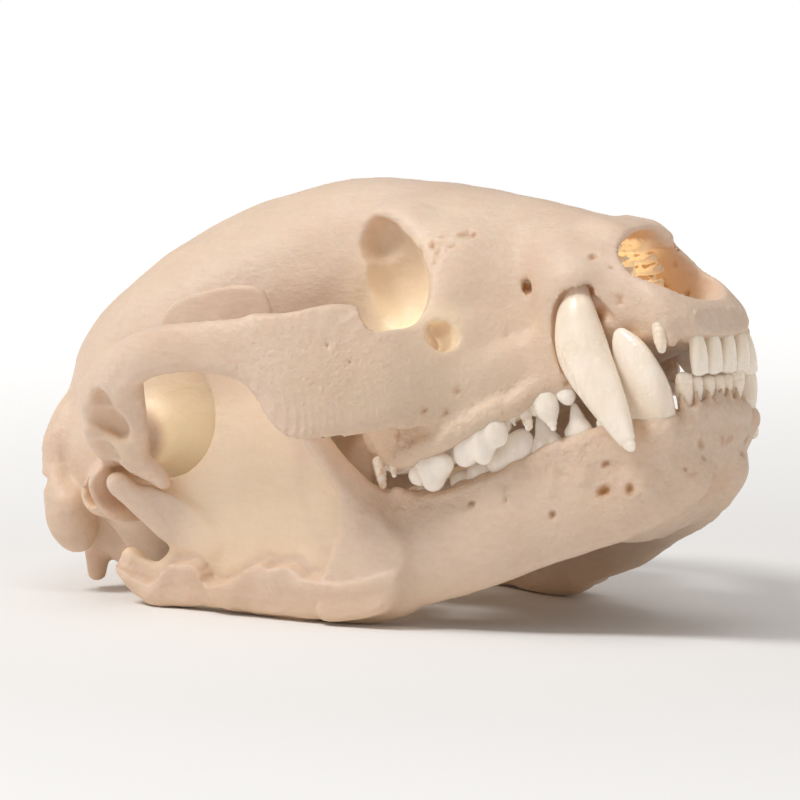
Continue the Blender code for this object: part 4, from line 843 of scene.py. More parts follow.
def lower_tooth(kind):
    if kind == "incisor_1":
        return incisor(-5.0, 1.15, -8.1, -3.9, 1.12, -5.0, 1.10, 4.0, -2.4, notch=False)
    if kind == "incisor_2":
        return incisor(-5.3, 3.4, -8.1, -4.1, 3.35, -4.8, 1.14, 4.0, -2.4)
    if kind == "incisor_3":
        return incisor(-5.1, 5.6, -8.2, -3.9, 5.9, -4.2, 1.42, 3.6, -2.4)
    if kind == "canine":
        return canine(False)
    if kind == "premolar_1":
        f = block_for(-17.5, -12, 9, 14.5, -12.5, -5.2)
        roots(f, [(-14.6, 11.6, 0.75, 0.7)], -8.8, 1, 3.0)
        lumps(f, [(-14.6, 11.7, -7.7, 1.0, 0.85, 1.15)])
        return f
    if kind == "premolar_2":
        f = block_for(-22.4, -15, 9, 15.5, -13.5, -2.4)
        roots(f, [(-17.6, 12.0, 1.0, 0.9), (-19.6, 12.1, 0.9, 0.85)], -8.6, 1, 4.0)
        lumps(f, [(-18.7, 12.1, -7.4, 2.0, 1.3, 1.4), (-20.0, 12.1, -7.2, 0.9, 0.95, 0.9)])
        cone(f, -18.5, 12.15, -7.6, -3.9, 1.75, 1.2, k=0.7, blunt=0.32, lean=(0.15, 0.0))
        return f
    if kind == "premolar_3":
        f = block_for(-28.4, -19.8, 9.5, 16.5, -14, -2.4)
        roots(f, [(-22.8, 12.7, 1.2, 1.0), (-25.4, 12.8, 1.1, 1.0)], -9.0, 1, 4.2)
        lumps(f, [(-24.1, 12.8, -7.8, 2.5, 1.45, 1.6), (-26.0, 12.9, -7.6, 1.2, 1.15, 1.1)])
        cone(f, -24.0, 12.85, -7.8, -3.7, 2.1, 1.35, k=0.8, blunt=0.3, lean=(-0.2, 0.05))
        return f
    if kind == "premolar_4":
        f = block_for(-35.4, -24.6, 9.5, 18, -14.5, -3)
        roots(f, [(-27.8, 13.4, 1.2, 1.0), (-31.6, 13.7, 1.2, 1.0)], -9.4, 1, 4.4)
        lumps(f, [(-28.8, 14.1, -6.9, 2.7, 1.6, 2.4), (-31.8, 14.3, -7.7, 2.3, 1.7, 1.9),
                  (-27.2, 13.9, -6.4, 1.5, 1.35, 2.0)], 0.9)
        return f
    if kind == "molar_1":
        f = block_for(-42.6, -31.6, 9.6, 18.0, -15, -4.6)
        roots(f, [(-35.0, 13.8, 1.3, 1.1), (-39.0, 13.9, 1.3, 1.1)], -9.6, 1, 4.6)
        lumps(f, [(-35.8, 14.4, -8.1, 2.2, 1.7, 1.7), (-36.0, 12.6, -8.1, 1.9, 1.4, 1.6),
                  (-39.2, 14.6, -8.3, 1.9, 1.6, 1.5), (-39.4, 12.8, -8.3, 1.6, 1.4, 1.5),
                  (-37.5, 13.7, -8.7, 2.6, 2.0, 1.2)], 0.5)
        return f
    if kind == "molar_2":
        f = block_for(-49.8, -40.8, 10.6, 18.8, -14.4, -4.6)
        roots(f, [(-43.4, 14.8, 1.1, 1.1), (-46.7, 15.1, 1.1, 1.1)], -9.0, 1, 4.2)
        lumps(f, [(-43.4, 15.5, -7.9, 1.5, 1.2, 1.4), (-43.5, 13.8, -7.9, 1.4, 1.1, 1.3),
                  (-46.5, 15.7, -7.9, 1.5, 1.2, 1.2), (-46.6, 14.1, -7.9, 1.4, 1.1, 1.2),
                  (-45.0, 14.8, -8.3, 2.4, 1.7, 1.0)], 0.5)
        return f


# ------------------------------------------------------------------ materials
def nodes(mat):
    mat.use_nodes = True
    t = mat.node_tree
    t.nodes.clear()
    out = t.nodes.new("ShaderNodeOutputMaterial")
    bsdf = t.nodes.new("ShaderNodeBsdfPrincipled")
    t.links.new(bsdf.outputs[0], out.inputs[0])
    return t, bsdf


def node(t, kind, **kw):
    n = t.nodes.new(kind)
    for k, v in kw.items():
        if k in n.inputs and not hasattr(n, k):
            n.inputs[k].default_value = v
        elif hasattr(n, k):
            setattr(n, k, v)
        else:
            n.inputs[k].default_value = v
    return n


def mixed(t, kind, fac, a, b):
    m = t.nodes.new("ShaderNodeMix")
    m.data_type = "RGBA"
    m.blend_type = kind
    m.clamp_factor = True
    for sock, val in ((m.inputs[0], fac), (m.inputs[6], a), (m.inputs[7], b)):
        if isinstance(val, (int, float)):
            sock.default_value = val
        elif isinstance(val, tuple):
            sock.default_value = (*val, 1.0)
        else:
            t.links.new(val, sock)
    return m.outputs[2]


def maths(t, op, a, b=None, clamp=False):
    m = t.nodes.new("ShaderNodeMath")
    m.operation = op
    m.use_clamp = clamp
    for sock, val in ((m.inputs[0], a), (m.inputs[1], b)):
        if val is None:
            continue
        if isinstance(val, (int, float)):
            sock.default_value = val
        else:
            t.links.new(val, sock)
    return m.outputs[0]


def ramp(t, src, stops):
    r = t.nodes.new("ShaderNodeValToRGB")
    t.links.new(src, r.inputs[0])
    e = r.color_ramp.elements
    while len(e) > 1:
        e.remove(e[-1])
    e[0].position, e[0].color = stops[0][0], (*stops[0][1], 1)
    for p, c in stops[1:]:
        x = e.new(p)
        x.color = (*c, 1)
    return r.outputs[0]


def bone_material(name, tint=(1.0, 1.0, 1.0)):
    mat = bpy.data.materials.new(name)
    t, b = nodes(mat)
    tc = t.nodes.new("ShaderNodeTexCoord")
    marks = t.nodes.new("ShaderNodeAttribute")
    marks.attribute_name = "marks"
    sep = t.nodes.new("ShaderNodeSeparateColor")
    t.links.new(marks.outputs["Color"], sep.inputs[0])
    pores, tan_and_shade = sep.outputs[1], sep.outputs[2]
    # painted light: the red of the marks, outside the holes, is a painted glow
    painted_glow = maths(t, "MULTIPLY", sep.outputs[0], maths(t, "SUBTRACT", 1.0, marks.outputs["Alpha"]))

    def tex(scale, detail=4.0, rough=0.55, dist=0.0, vec=None):
        n = t.nodes.new("ShaderNodeTexNoise")
        n.inputs["Scale"].default_value = scale
        n.inputs["Detail"].default_value = detail
        n.inputs["Roughness"].default_value = rough
        n.inputs["Distortion"].default_value = dist
        t.links.new(vec if vec is not None else tc.outputs["Object"], n.inputs["Vector"])
        return n.outputs[0]
    # streaks that run along the skull
    stretch = t.nodes.new("ShaderNodeMapping")
    stretch.inputs["Rotation"].default_value = (0, math.radians(20), 0)
    stretch.inputs["Scale"].default_value = (0.22, 1.0, 1.0)
    t.links.new(tc.outputs["Object"], stretch.inputs["Vector"])

    cloud = tex(60, 5, 0.55)
    mottle = tex(240, 5, 0.6, 0.4)
    grain = tex(1400, 4, 0.6)
    streak = tex(1100, 4, 0.6, 0.3, stretch.outputs[0])
    base = ramp(t, cloud, [(0.25, (0.690, 0.505, 0.375)), (0.48, (0.745, 0.573, 0.450)), (0.72, (0.785, 0.628, 0.515))])
    base = mixed(t, "MIX", maths(t, "MULTIPLY", ramp(t, mottle, [(0.40, (0, 0, 0)), (0.75, (1, 1, 1))]), 0.45),
                 base, (0.700, 0.535, 0.400))
    base = mixed(t, "MULTIPLY", 0.20, base, ramp(t, streak, [(0.35, (0.82, 0.76, 0.70)), (0.6, (1, 1, 1))]))
    base = mixed(t, "MULTIPLY", 0.14, base, ramp(t, grain, [(0.35, (0.80, 0.72, 0.62)), (0.62, (1, 1, 1))]))
    # yellower, waxier, darker fields; partly painted shade, darker low on the jaw and in the hollow under the arch's
    # root
    base = mixed(t, "MIX", maths(t, "MULTIPLY", tan_and_shade, 0.60), base, (0.690, 0.525, 0.365))
    dark = tex(900, 3, 0.5)
    pore_mask = maths(t, "MULTIPLY", pores, ramp(t, dark, [(0.52, (0, 0, 0)), (0.66, (1, 1, 1))]), True)
    base = mixed(t, "MIX", maths(t, "MULTIPLY", pore_mask, 0.20), base, (0.600, 0.410, 0.260))
    # painted shade: folds that ambient occlusion finds are painted a warmer, deeper orange, standing in for light that
    # has gone through the bone
    ao = t.nodes.new("ShaderNodeAmbientOcclusion")
    ao.samples = 6
    ao.inputs["Distance"].default_value = 0.009
    shade = maths(t, "SUBTRACT", 1.0, ao.outputs["AO"])
    base = mixed(t, "MIX", maths(t, "MULTIPLY", shade, 0.55), base, (0.790, 0.535, 0.330))
    # painted light: where the painted glow is set, the colour is painted pale warm yellow
    base = mixed(t, "MIX", maths(t, "MULTIPLY", painted_glow, 0.80), base, (0.920, 0.770, 0.520))
    # painted shade: dark amber inside the small holes
    base = mixed(t, "MIX", marks.outputs["Alpha"], base, (0.440, 0.190, 0.050))
    if tint != (1.0, 1.0, 1.0):
        base = mixed(t, "MULTIPLY", 1.0, base, tint)
    t.links.new(base, b.inputs["Base Color"])
    # painted light: the same places glow warm yellow though no lamp shines there
    t.links.new(mixed(t, "MIX", painted_glow, (0.0, 0.0, 0.0), (1.0, 0.80, 0.50)), b.inputs["Emission Color"])
    b.inputs["Emission Strength"].default_value = 0.32
    # roughness
    r = ramp(t, mottle, [(0.3, (0.42, 0.42, 0.42)), (0.7, (0.60, 0.60, 0.60))])
    t.links.new(r, b.inputs["Roughness"])
    b.inputs["Specular IOR Level"].default_value = 0.42
    b.inputs["Subsurface Weight"].default_value = 0.22
    b.inputs["Subsurface Radius"].default_value = (1.0, 0.42, 0.20)
    b.inputs["Subsurface Scale"].default_value = 0.0022
    b.inputs["Coat Weight"].default_value = 0.05
    b.inputs["Coat Roughness"].default_value = 0.35
    # fine relief: grain, streaks, pores near the tooth rows
    vor = t.nodes.new("ShaderNodeTexVoronoi")
    vor.inputs["Scale"].default_value = 1150
    t.links.new(tc.outputs["Object"], vor.inputs["Vector"])
    hole = ramp(t, vor.outputs["Distance"], [(0.10, (0, 0, 0)), (0.38, (1, 1, 1))])
    hole = maths(t, "SUBTRACT", 1.0, maths(t, "MULTIPLY", maths(t, "SUBTRACT", 1.0, hole), pores))
    height = maths(t, "MULTIPLY", grain, 0.30)
    height = maths(t, "ADD", height, maths(t, "MULTIPLY", streak, 0.35))
    height = maths(t, "ADD", height, maths(t, "MULTIPLY", mottle, 0.55))
    height = maths(t, "ADD", height, maths(t, "MULTIPLY", hole, 0.22))
    height = maths(t, "ADD", height, maths(t, "MULTIPLY", maths(t, "MULTIPLY", dark, pores), 1.0))
    bump = t.nodes.new("ShaderNodeBump")
    bump.inputs["Strength"].default_value = 0.75
    bump.inputs["Distance"].default_value = 0.00042
    t.links.new(height, bump.inputs["Height"])
    t.links.new(bump.outputs[0], b.inputs["Normal"])
    return mat


def tooth_material(name, creamy):
    mat = bpy.data.materials.new(name)
    t, b = nodes(mat)
    tc = t.nodes.new("ShaderNodeTexCoord")
    marks = t.nodes.new("ShaderNodeAttribute")
    marks.attribute_name = "marks"
    sep = t.nodes.new("ShaderNodeSeparateColor")
    t.links.new(marks.outputs["Color"], sep.inputs[0])
    root, tip, stain = sep.outputs[0], sep.outputs[1], sep.outputs[2]

    def tex(scale, detail=4.0, vec=None):
        n = t.nodes.new("ShaderNodeTexNoise")
        n.inputs["Scale"].default_value = scale
        n.inputs["Detail"].default_value = detail
        t.links.new(vec if vec is not None else tc.outputs["Object"], n.inputs["Vector"])
        return n.outputs[0]
    cloud, fine = tex(180, 4), tex(900, 4)
    along = t.nodes.new("ShaderNodeMapping")
    along.inputs["Scale"].default_value = (1.0, 1.0, 0.12)
    t.links.new(tc.outputs["Object"], along.inputs["Vector"])
    line = tex(1500, 3, along.outputs[0])
    if creamy:
        base = ramp(t, cloud, [(0.3, (0.86, 0.735, 0.595)), (0.7, (0.91, 0.815, 0.705))])
    else:
        base = ramp(t, cloud, [(0.3, (0.85, 0.750, 0.65)), (0.7, (0.91, 0.84, 0.755))])
    base = mixed(t, "MULTIPLY", 0.22, base, ramp(t, line, [(0.35, (0.84, 0.77, 0.66)), (0.6, (1, 1, 1))]))
    base = mixed(t, "MIX", maths(t, "MULTIPLY", tip, 0.4), base, (0.91, 0.85, 0.77))
    base = mixed(t, "MIX", maths(t, "MULTIPLY", stain, ramp(t, fine, [(0.42, (0, 0, 0)), (0.62, (1, 1, 1))])),
                 base, (0.60, 0.38, 0.18))
    base = mixed(t, "MIX", maths(t, "MULTIPLY", root, 0.5), base, (0.74, 0.58, 0.42))
    t.links.new(base, b.inputs["Base Color"])
    rough = ramp(t, fine, [(0.3, (0.16, 0.16, 0.16)), (0.7, (0.30, 0.30, 0.30))])
    rough = mixed(t, "MIX", root, rough, (0.5, 0.5, 0.5))
    t.links.new(rough, b.inputs["Roughness"])
    b.inputs["Specular IOR Level"].default_value = 0.5
    # painted light: a faint warm glow brightens the teeth, though they are no lamp
    b.inputs["Emission Color"].default_value = (1.0, 0.86, 0.74, 1.0)
    b.inputs["Emission Strength"].default_value = 0.05
    b.inputs["Subsurface Weight"].default_value = 0.45
    b.inputs["Subsurface Radius"].default_value = (1.0, 0.75, 0.55)
    b.inputs["Subsurface Scale"].default_value = 0.0011
    b.inputs["Coat Weight"].default_value = 0.25
    b.inputs["Coat Roughness"].default_value = 0.12
    bump = t.nodes.new("ShaderNodeBump")
    bump.inputs["Strength"].default_value = 0.15
    bump.inputs["Distance"].default_value = 0.00012
    t.links.new(maths(t, "ADD", line, maths(t, "MULTIPLY", fine, 0.5)), bump.inputs["Height"])
    t.links.new(bump.outputs[0], b.inputs["Normal"])
    return mat


# small vessel holes, dented in and painted dark amber inside as painted shade: along, side, height, half-widths,
# strength
SKULL_HOLES = [(-19.4, 14, 13.6, 0.8, 1.09, 1.0), (-34.7, 16, 12.1, 1.8, 1.16, 0.35), (-31.8, 14, 24.7, 0.6, 0.35, 0.8), (-27.5, 14, 23.9, 1.2, 0.38, 0.9), (-26.1, 14, 23.2, 0.8, 0.32, 0.9), (-34.0, 14, 24.2, 0.48, 0.65, 0.8), (-32.9, 14, 24.0, 0.52, 0.38, 0.6), (-30.5, 14, 23.1, 0.52, 0.38, 0.7), (-33.3, 14, 23.1, 0.52, 0.38, 0.7), (-34.5, 14, 22.0, 0.52, 0.43, 0.7), (-7.6, 13, 13.9, 0.6, 0.43, 0.7), (-4.9, 13, 11.6, 0.52, 0.38, 0.5), (-5.2, 13, 7.1, 0.56, 0.65, 0.8), (-32.3, 19, 2.9, 0.6, 0.43, 0.6), (-38.8, 19, 2.0, 0.6, 0.35, 0.6), (-35.0, 19, 0.6, 0.6, 0.38, 0.6), (-44.4, 19, 0.3, 1.0, 0.38, 0.7), (-11.1, 12.4, 9.9, 1.8, 1.01, 0.85), (-9.5, 12.2, 6.4, 1.2, 1.16, 0.75), (-97.8, 25.5, 7.8, 0.9, 1.3, 0.9), (-16.2, 15, -1.3, 0.6, 0.43, 0.6)]
JAW_HOLES = [(-35.6, 18, -12.3, 0.6, 0.43, 0.8), (-23.8, 16, -17.5, 0.7, 0.51, 0.8), (-14.0, 14, -13.4, 0.8, 0.43, 0.8), (-15.6, 14, -16.7, 1.3, 0.72, 1.0), (-12.0, 13, -17.5, 0.8, 0.8, 0.9), (-15.0, 16, -1.3, 0.6, 0.43, 0.5), (-2.2, 8, -14.5, 0.52, 0.8, 0.45), (0.3, 6, -14.8, 0.52, 0.8, 0.35), (-4.2, 9, -18.0, 1.0, 0.43, 0.3)]


def hole_mask(p, rows):
    q = both(p)
    m = np.zeros(len(q))
    for a, l, h, ra, rh, strength in rows:
        t = l - q[:, 1]
        e = ((q[:, 0] + 0.913 * t - a) / ra) ** 2 + ((q[:, 2] - 0.219 * t - h) / rh) ** 2
        m = np.maximum(m, strength * np.exp(-e ** 2) * (np.abs(t) < 6.0))
    return m


# ------------------------------------------------------------------ pieces
def make_piece(name, v, q, mat, target=None, shape=None, marks=None, holes=()):
    """Mesh from points in the skull's frame; thinned, then given its fine relief and marks."""
    mesh = bpy.data.meshes.new(name)
    mesh.vertices.add(len(v))
    mesh.vertices.foreach_set("co", v.astype(np.float32).ravel())
    mesh.loops.add(q.size)
    mesh.loops.foreach_set("vertex_index", q.astype(np.int32).ravel())
    mesh.polygons.add(len(q))
    mesh.polygons.foreach_set("loop_start", np.arange(0, q.size, 4, dtype=np.int32))
    mesh.polygons.foreach_set("loop_total", np.full(len(q), 4, np.int32))
    mesh.update(calc_edges=True)
    ob = bpy.data.objects.new(name, mesh)
    bpy.context.scene.collection.objects.link(ob)
    if target:
        dec = ob.modifiers.new("thin", "DECIMATE")
        dec.use_collapse_triangulate = True
        dec.ratio = min(1.0, target / (2.0 * len(q)))
        bpy.context.view_layer.update()
        dg = bpy.context.evaluated_depsgraph_get()
        new = bpy.data.meshes.new_from_object(ob.evaluated_get(dg))
        ob.modifiers.clear()
        ob.data = new
        bpy.data.meshes.remove(mesh)
        mesh = new
        mesh.name = name
    n = len(mesh.vertices)
    co = np.empty(n * 3, np.float32)
    mesh.vertices.foreach_get("co", co)
    co = co.reshape(-1, 3).astype(float)
    nor = np.empty(n * 3, np.float32)
    mesh.vertices.foreach_get("normal", nor)
    nor = nor.reshape(-1, 3)
    if shape is not None:
        co = co + nor * shape(co, nor)[:, None]
    if len(holes):
        co = co - nor * (0.85 * hole_mask(co, holes) ** 1.5)[:, None]
    if marks is not None:
        m = np.ones((n, 4), np.float32)
        m[:, :3] = np.clip(marks(co, nor), 0, 1)
        m[:, 3] = 0.0 if not len(holes) else hole_mask(co, holes)
        at = mesh.color_attributes.new("marks", "FLOAT_COLOR", "POINT")
        at.data.foreach_set("color", m.ravel())
    mesh.vertices.foreach_set("co", to_world(co).astype(np.float32).ravel())
    # the skull frame is left handed beside the part's frame, so the faces turn over
    mesh.flip_normals()
    mesh.update()
    mesh.shade_smooth()
    mesh.materials.append(mat)
    return ob


def near_path(p, path, width):
    pts = resample([tuple(q) + (0, 0) for q in path], 1.0)[:, :3]
    best = np.full(len(p), 1e9)
    for q in pts:
        best = np.minimum(best, ((p - q) ** 2).sum(1))
    return np.exp(-best / width ** 2)


def cranium_shape(p, n):
    d = 0.17 * noise(p, 9.0, 1) + 0.10 * noise(p, 3.6, 2) + 0.05 * noise(p, 1.7, 3)
    q = both(p)
    rough = np.exp(-((q[:, 2] + 1.8) / 2.6) ** 2) * ease(-q[:, 0], 12, 18) * (1 - ease(-q[:, 0], 50, 54)) * ease(q[:, 1], 9, 12)
    rough = np.maximum(rough, 0.7 * np.exp(-((q[:, 2] - 1.5) / 2.6) ** 2) * (1 - ease(-q[:, 0], 6, 9)))
    rough = np.maximum(rough, np.exp(-(((q[:, 0] + 83) / 5) ** 2 + ((q[:, 1] - 35) / 4) ** 2 + ((q[:, 2] - 12) / 5) ** 2)) * 1.8)
    return d + rough * (0.22 * noise(p, 1.8, 4) - 0.14 * np.abs(noise(p, 2.6, 6)))


def both(p):
    q = p.copy()
    q[:, 1] = np.abs(q[:, 1])
    return q


def cranium_marks(p, n):
    q = both(p)
    a, l, h = q[:, 0], q[:, 1], q[:, 2]
    # painted light: a pale warm glow is painted into the nose, the eye hollow's inner wall, the infraorbital canal, the
    # ear tube and the wall seen through the gap behind the arch
    painted_glow = np.zeros(len(q))
    # inside of the nose
    painted_glow = np.maximum(painted_glow, ease(-a, 8, 13) * (1 - ease(l, 6.6, 8.6)) * ease(h, 3.4, 4.6) * (1 - ease(-a, 30, 34))
                      * (h < 15.6 + (-a - 8) * 0.42))
    # behind the eye, inner wall and floor
    wall = np.exp(-(((a + 44) / 9) ** 2 + ((l - 12) / 6.5) ** 2 + ((h - 16) / 8.5) ** 2))
    painted_glow = np.maximum(painted_glow, 0.95 * wall)
    painted_glow = np.maximum(painted_glow, 0.8 * np.exp(-(((a + 33) / 3.4) ** 2 + ((l - 18.5) / 3.0) ** 2 + ((h - 11) / 3.6) ** 2)))
    painted_glow = np.maximum(painted_glow, 0.55 * np.exp(-(((a + 97.8) / 3) ** 2 + ((l - 22.5) / 3.5) ** 2 + ((h - 6.5) / 3) ** 2)))
    painted_glow = np.maximum(painted_glow, 0.95 * np.exp(-(((a + 83) / 10) ** 2 + ((h - 12) / 8) ** 2)) * (1 - ease(l, 24, 27)))
    pores = np.exp(-((h + 2) / 4.5) ** 2) * ease(-a, 12, 18) * (1 - ease(-a, 50, 54)) * ease(l, 9, 12)
    pores = np.maximum(pores, 0.8 * np.exp(-((h - 2.5) / 4.0) ** 2) * (1 - ease(-a, 5, 8)))
    pores = np.maximum(pores, 0.7 * near_path(q, [(-38, 28, 8), (-46, 33, 12), (-52, 35, 15)], 5.0))
    pores = np.maximum(pores, 0.8 * np.exp(-(((a + 33) / 4) ** 2 + ((l - 14) / 3) ** 2 + ((h - 24) / 3) ** 2)))
    pores = np.maximum(pores, 0.5 * near_path(q, [(-108.9, 8.0, 32.7), (-105.7, 18.4, 25.6), (-108.2, 24.6, 18.6), (-105, 26, 6)], 3.0))
    # yellower and darker over the braincase top, along the infraorbital canal, low on the wall behind the eye and along
    # the maxilla over the cheek teeth; painted shade in the hollow under the arch's root
    tan_and_shade = ease(-a, 52, 62) * ease(h, 30, 36) * (1 - ease(-a, 100, 108)) * 0.55
    tan_and_shade = tan_and_shade * (0.75 + 0.5 * noise(p, 7.0, 5))
    tan_and_shade = np.maximum(tan_and_shade, 0.6 * near_path(q, [(-31.5, 20.0, 10.4), (-33, 19.6, 10.4)], 3.4))
    tan_and_shade = np.maximum(tan_and_shade, 0.35 * np.exp(-(((a + 62) / 16) ** 2 + ((h - 12) / 9) ** 2)) * (1 - ease(l, 18, 24)))
    tan_and_shade = np.maximum(tan_and_shade, 0.55 * ease(-a, 14, 22) * (1 - ease(-a, 44, 54)) * (1 - ease(h, 10, 18)) * ease(l, 11, 14))
    tan_and_shade = np.maximum(tan_and_shade, 0.8 * np.exp(-(((a + 83) / 4) ** 2 + ((l - 35) / 3) ** 2 + ((h - 12) / 4) ** 2)))
    return np.stack([painted_glow, pores, tan_and_shade], 1)


def mandible_shape(p, n):
    d = 0.15 * noise(p, 8.0, 11) + 0.09 * noise(p, 3.2, 12) + 0.05 * noise(p, 1.5, 13)
    q = both(p)
    rough = np.maximum(np.exp(-((q[:, 2] + 9.2) / 2.2) ** 2) * (1 - ease(-q[:, 0], 50, 54)),
                       0.8 * (1 - ease(-q[:, 0], 10, 20)) * ease(-q[:, 2], 7, 9))
    foot = np.interp(q[:, 0], [r[0] for r in FOOT], [r[1] for r in FOOT])
    rough = np.maximum(rough, 0.9 * ease(foot - q[:, 2], -0.6, 0.6) * ease(-q[:, 0], 58, 64))
    return d + rough * (0.20 * noise(p, 1.9, 14) - 0.16 * np.abs(noise(p, 2.8, 16)))


def mandible_marks(p, n):
    q = both(p)
    a, l, h = q[:, 0], q[:, 1], q[:, 2]
    # painted light: the front and middle of the rising plate, under the arch, are painted paler and glow
    painted_glow = 0.55 * np.exp(-(((a + 58) / 4) ** 2 + ((h + 5) / 7) ** 2)) * 0.6
    painted_glow = np.maximum(painted_glow, 0.30 * ease(-a, 56, 62) * (1 - ease(h, 8, 20)) * ease(h - np.interp(a, [r[0] for r in FOOT], [r[1] for r in FOOT]), 0.0, 2.0)
                      * ease(l, 15, 20) * (1 - ease(l, 27, 29)))
    pores = np.exp(-((h + 9.5) / 3.2) ** 2) * (1 - ease(-a, 50, 54))
    pores = np.maximum(pores, 0.8 * (1 - ease(-a, 14, 22)) * ease(-h, 9, 12))
    pores = np.maximum(pores, 0.6 * near_path(q, [(-95, 26.8, -3.0), (-90, 27, -9.5), (-78, 26, -13.5), (-64, 23, -19)], 3.0))
    # painted shade: darker and yellower towards the bottom of the jaw; yellower over the top of the rising plate
    tan_and_shade = 0.35 * (0.6 + 0.6 * noise(p, 8.0, 15)) * ease(-h, 14, 22)
    tan_and_shade = np.maximum(tan_and_shade, 0.25 * ease(-a, 60, 66) * ease(h, 8, 18))
    return np.stack([painted_glow, pores, tan_and_shade], 1)


def tooth_marks(jaw, kind, neck):
    d = -1 if jaw == "upper" else 1
    stain_by = {"premolar_3": 0.5, "molar_2": 0.8, "premolar_4": 0.10, "molar_1": 0.12}

    def fn(p, n):
        y = (p[:, 2] - neck) * d
        root = 1 - ease(y, -1.0, 0.5)
        tip = ease(y, 1.5, 4.5)
        stain = np.exp(-((y - 0.8) / 1.3) ** 2) * stain_by.get(kind, 0.12)
        if kind == "canine":
            root, tip, stain = 0.5 * (1 - ease(y, -9.0, 3.0)), ease(y, 0.0, 12.0), 0 * y
        if kind in ("premolar_3", "molar_2") and jaw == "upper":
            stain = np.maximum(stain, 0.6 * ease(y, 1.2, 2.6))
            tip = tip * 0.2
        return np.stack([root, tip, stain], 1)
    return fn


# ------------------------------------------------------------------ build
BONE = bone_material("bone_of_cranium")
JAW = bone_material("bone_of_mandible", (0.995, 0.99, 0.985))
ENAMEL = tooth_material("enamel", False)
IVORY = tooth_material("canine_enamel", True)

v, q = build_cranium().mesh()
cranium = make_piece("cranium_bone", v, q, BONE, 194000, cranium_shape, cranium_marks,
                     SKULL_HOLES)
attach(cranium, "root")
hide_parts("cranium")

v, q = build_mandible().mesh()
mandible = make_piece("mandible_bone", v, q, JAW, 170000, mandible_shape, mandible_marks,
                      JAW_HOLES)
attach(mandible, "root")
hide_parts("mandible")

KINDS = ["incisor_1", "incisor_2", "incisor_3", "canine", "premolar_1", "premolar_2", "premolar_3",
         "premolar_4", "molar_1", "molar_2"]
NECK = {"upper": {"incisor_1": 0.0, "incisor_2": 0.0, "incisor_3": 0.2, "canine": 1.0, "premolar_1": -0.9,
                  "premolar_2": -1.2, "premolar_3": -1.6, "premolar_4": -2.8, "molar_1": -3.6, "molar_2": -3.0},
        "lower": {"incisor_1": -8.0, "incisor_2": -8.0, "incisor_3": -8.1, "canine": -9.0, "premolar_1": -8.6,
                  "premolar_2": -8.4, "premolar_3": -8.6, "premolar_4": -9.0, "molar_1": -9.2, "molar_2": -8.6}}
for jaw, make in (("upper", upper_tooth), ("lower", lower_tooth)):
    for kind in KINDS:
        v, q = make(kind).mesh()
        vs, qs = (make("incisor_3_stub").mesh() if (jaw, kind) == ("upper", "incisor_3") else (v, q))
        for side, tag in ((1, "right"), (-1, "left")):
            vv, qq = (vs, qs) if side == 1 else (v * np.array([1, -1, 1]), q[:, ::-1])
            ob = make_piece("%s_%s_%s_crown" % (jaw, tag, kind), vv, qq,
                            IVORY if kind == "canine" or kind.startswith("incisor") else ENAMEL, 22000 if kind == "canine" else 12000,
                            None, tooth_marks(jaw, kind, NECK[jaw][kind]))
            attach(ob, "root")
            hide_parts("%s_%s_%s" % (jaw, tag, kind))

# ------------------------------------------------------------------ floor, light, camera
mesh = bpy.data.meshes.new("floor")
mesh.from_pydata([(-3, -3, 0), (3, -3, 0), (3, 3, 0), (-3, 3, 0)], [], [(0, 1, 2, 3)])
floor = bpy.data.objects.new("floor", mesh)
bpy.context.scene.collection.objects.link(floor)
fm = bpy.data.materials.new("pale_floor")
t, b = nodes(fm)
b.inputs["Base Color"].default_value = (0.88, 0.88, 0.88, 1)
b.inputs["Roughness"].default_value = 0.9
b.inputs["Specular IOR Level"].default_value = 0.1
# painted light: the sheet glows more the further it runs from the middle, so it stays pale where the lamp's light falls
# off
fc = t.nodes.new("ShaderNodeTexCoord")
fl = t.nodes.new("ShaderNodeVectorMath")
fl.operation = "LENGTH"
t.links.new(fc.outputs["Object"], fl.inputs[0])
t.links.new(ramp(t, fl.outputs["Value"], [(0.10, (0, 0, 0)), (0.50, (0.36, 0.36, 0.36)), (0.95, (0.66, 0.66, 0.66))]),
            b.inputs["Emission Color"])
b.inputs["Emission Strength"].default_value = 1.0
mesh.materials.append(fm)

world = bpy.data.worlds.new("studio")
world.use_nodes = True
bg = world.node_tree.nodes["Background"]
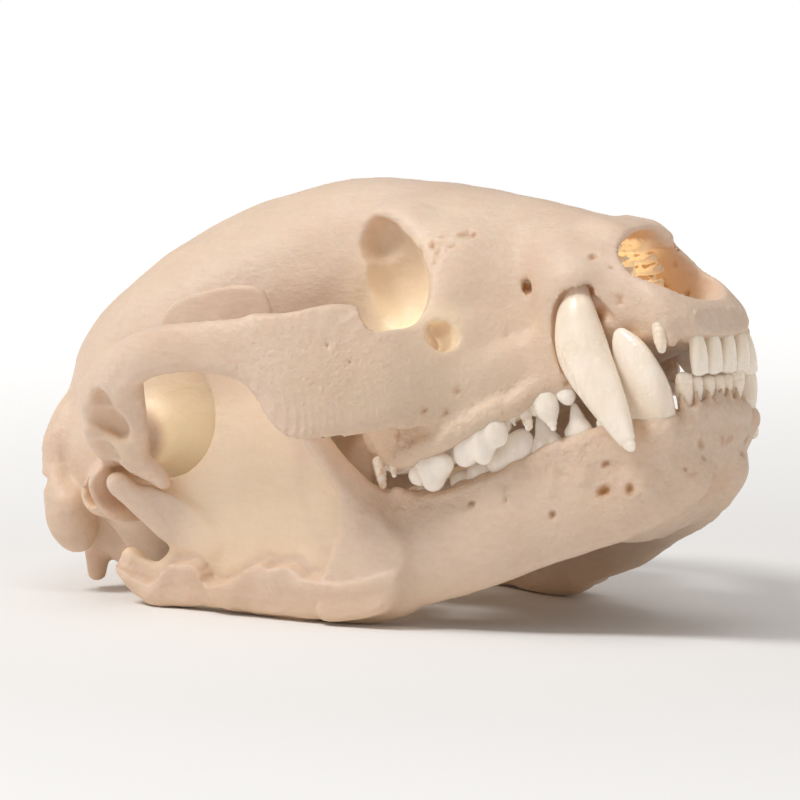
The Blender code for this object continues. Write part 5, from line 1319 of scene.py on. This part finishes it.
# pale all round the horizon, softer overhead
wt = world.node_tree
wc = wt.nodes.new("ShaderNodeTexCoord")
ws = wt.nodes.new("ShaderNodeSeparateXYZ")
wt.links.new(wc.outputs["Generated"], ws.inputs[0])
wr = wt.nodes.new("ShaderNodeValToRGB")
wt.links.new(maths(wt, "ADD", maths(wt, "MULTIPLY", ws.outputs[2], 0.5), 0.5), wr.inputs[0])
wr.color_ramp.elements[0].position, wr.color_ramp.elements[0].color = 0.53, (1.0, 1.0, 1.0, 1)
wr.color_ramp.elements[1].position, wr.color_ramp.elements[1].color = 0.60, (0.40, 0.385, 0.37, 1)
wt.links.new(wr.outputs[0], bg.inputs[0])
bg.inputs[1].default_value = 1.0
bpy.context.scene.world = world
bpy.context.scene.view_settings.view_transform = "Standard"


def lamp(name, az, el, dist, size, power, colour=(1, 1, 1)):
    data = bpy.data.lights.new(name, "AREA")
    data.shape = "DISK"
    data.size = size
    data.energy = power
    data.color = colour
    ob = bpy.data.objects.new(name, data)
    a, e = math.radians(az), math.radians(el)
    ob.location = (dist * math.sin(a) * math.cos(e), -dist * math.cos(a) * math.cos(e), dist * math.sin(e) + 0.03)
    d = Vector((0, 0, 0.03)) - ob.location
    ob.rotation_euler = d.to_track_quat("-Z", "Y").to_euler()
    bpy.context.scene.collection.objects.link(ob)


lamp("key", -34, 52, 1.0, 0.34, 5.7, (1.0, 0.985, 0.965))
lamp("top", 60, 78, 1.0, 0.6, 1.6)

cam = bpy.data.cameras.new("camera")
cam.sensor_width = 36.0
cam.lens = 36.0 * 3795.0 / 800.0
cam.clip_start = 0.01
cam_ob = bpy.data.objects.new("camera", cam)
TH, EL, DIST = math.radians(43.0), math.radians(4.5), 0.550
target = Vector(((60 - 119.4 + X_FRONT) * MM, 0.0, (40 - 52.2 + Z_FRONT) * MM))
cam_ob.location = target + Vector((math.sin(TH) * math.cos(EL), -math.cos(TH) * math.cos(EL), math.sin(EL))) * DIST
cam_ob.rotation_euler = (target - cam_ob.location).to_track_quat("-Z", "Y").to_euler()
bpy.context.scene.collection.objects.link(cam_ob)
bpy.context.scene.camera = cam_ob
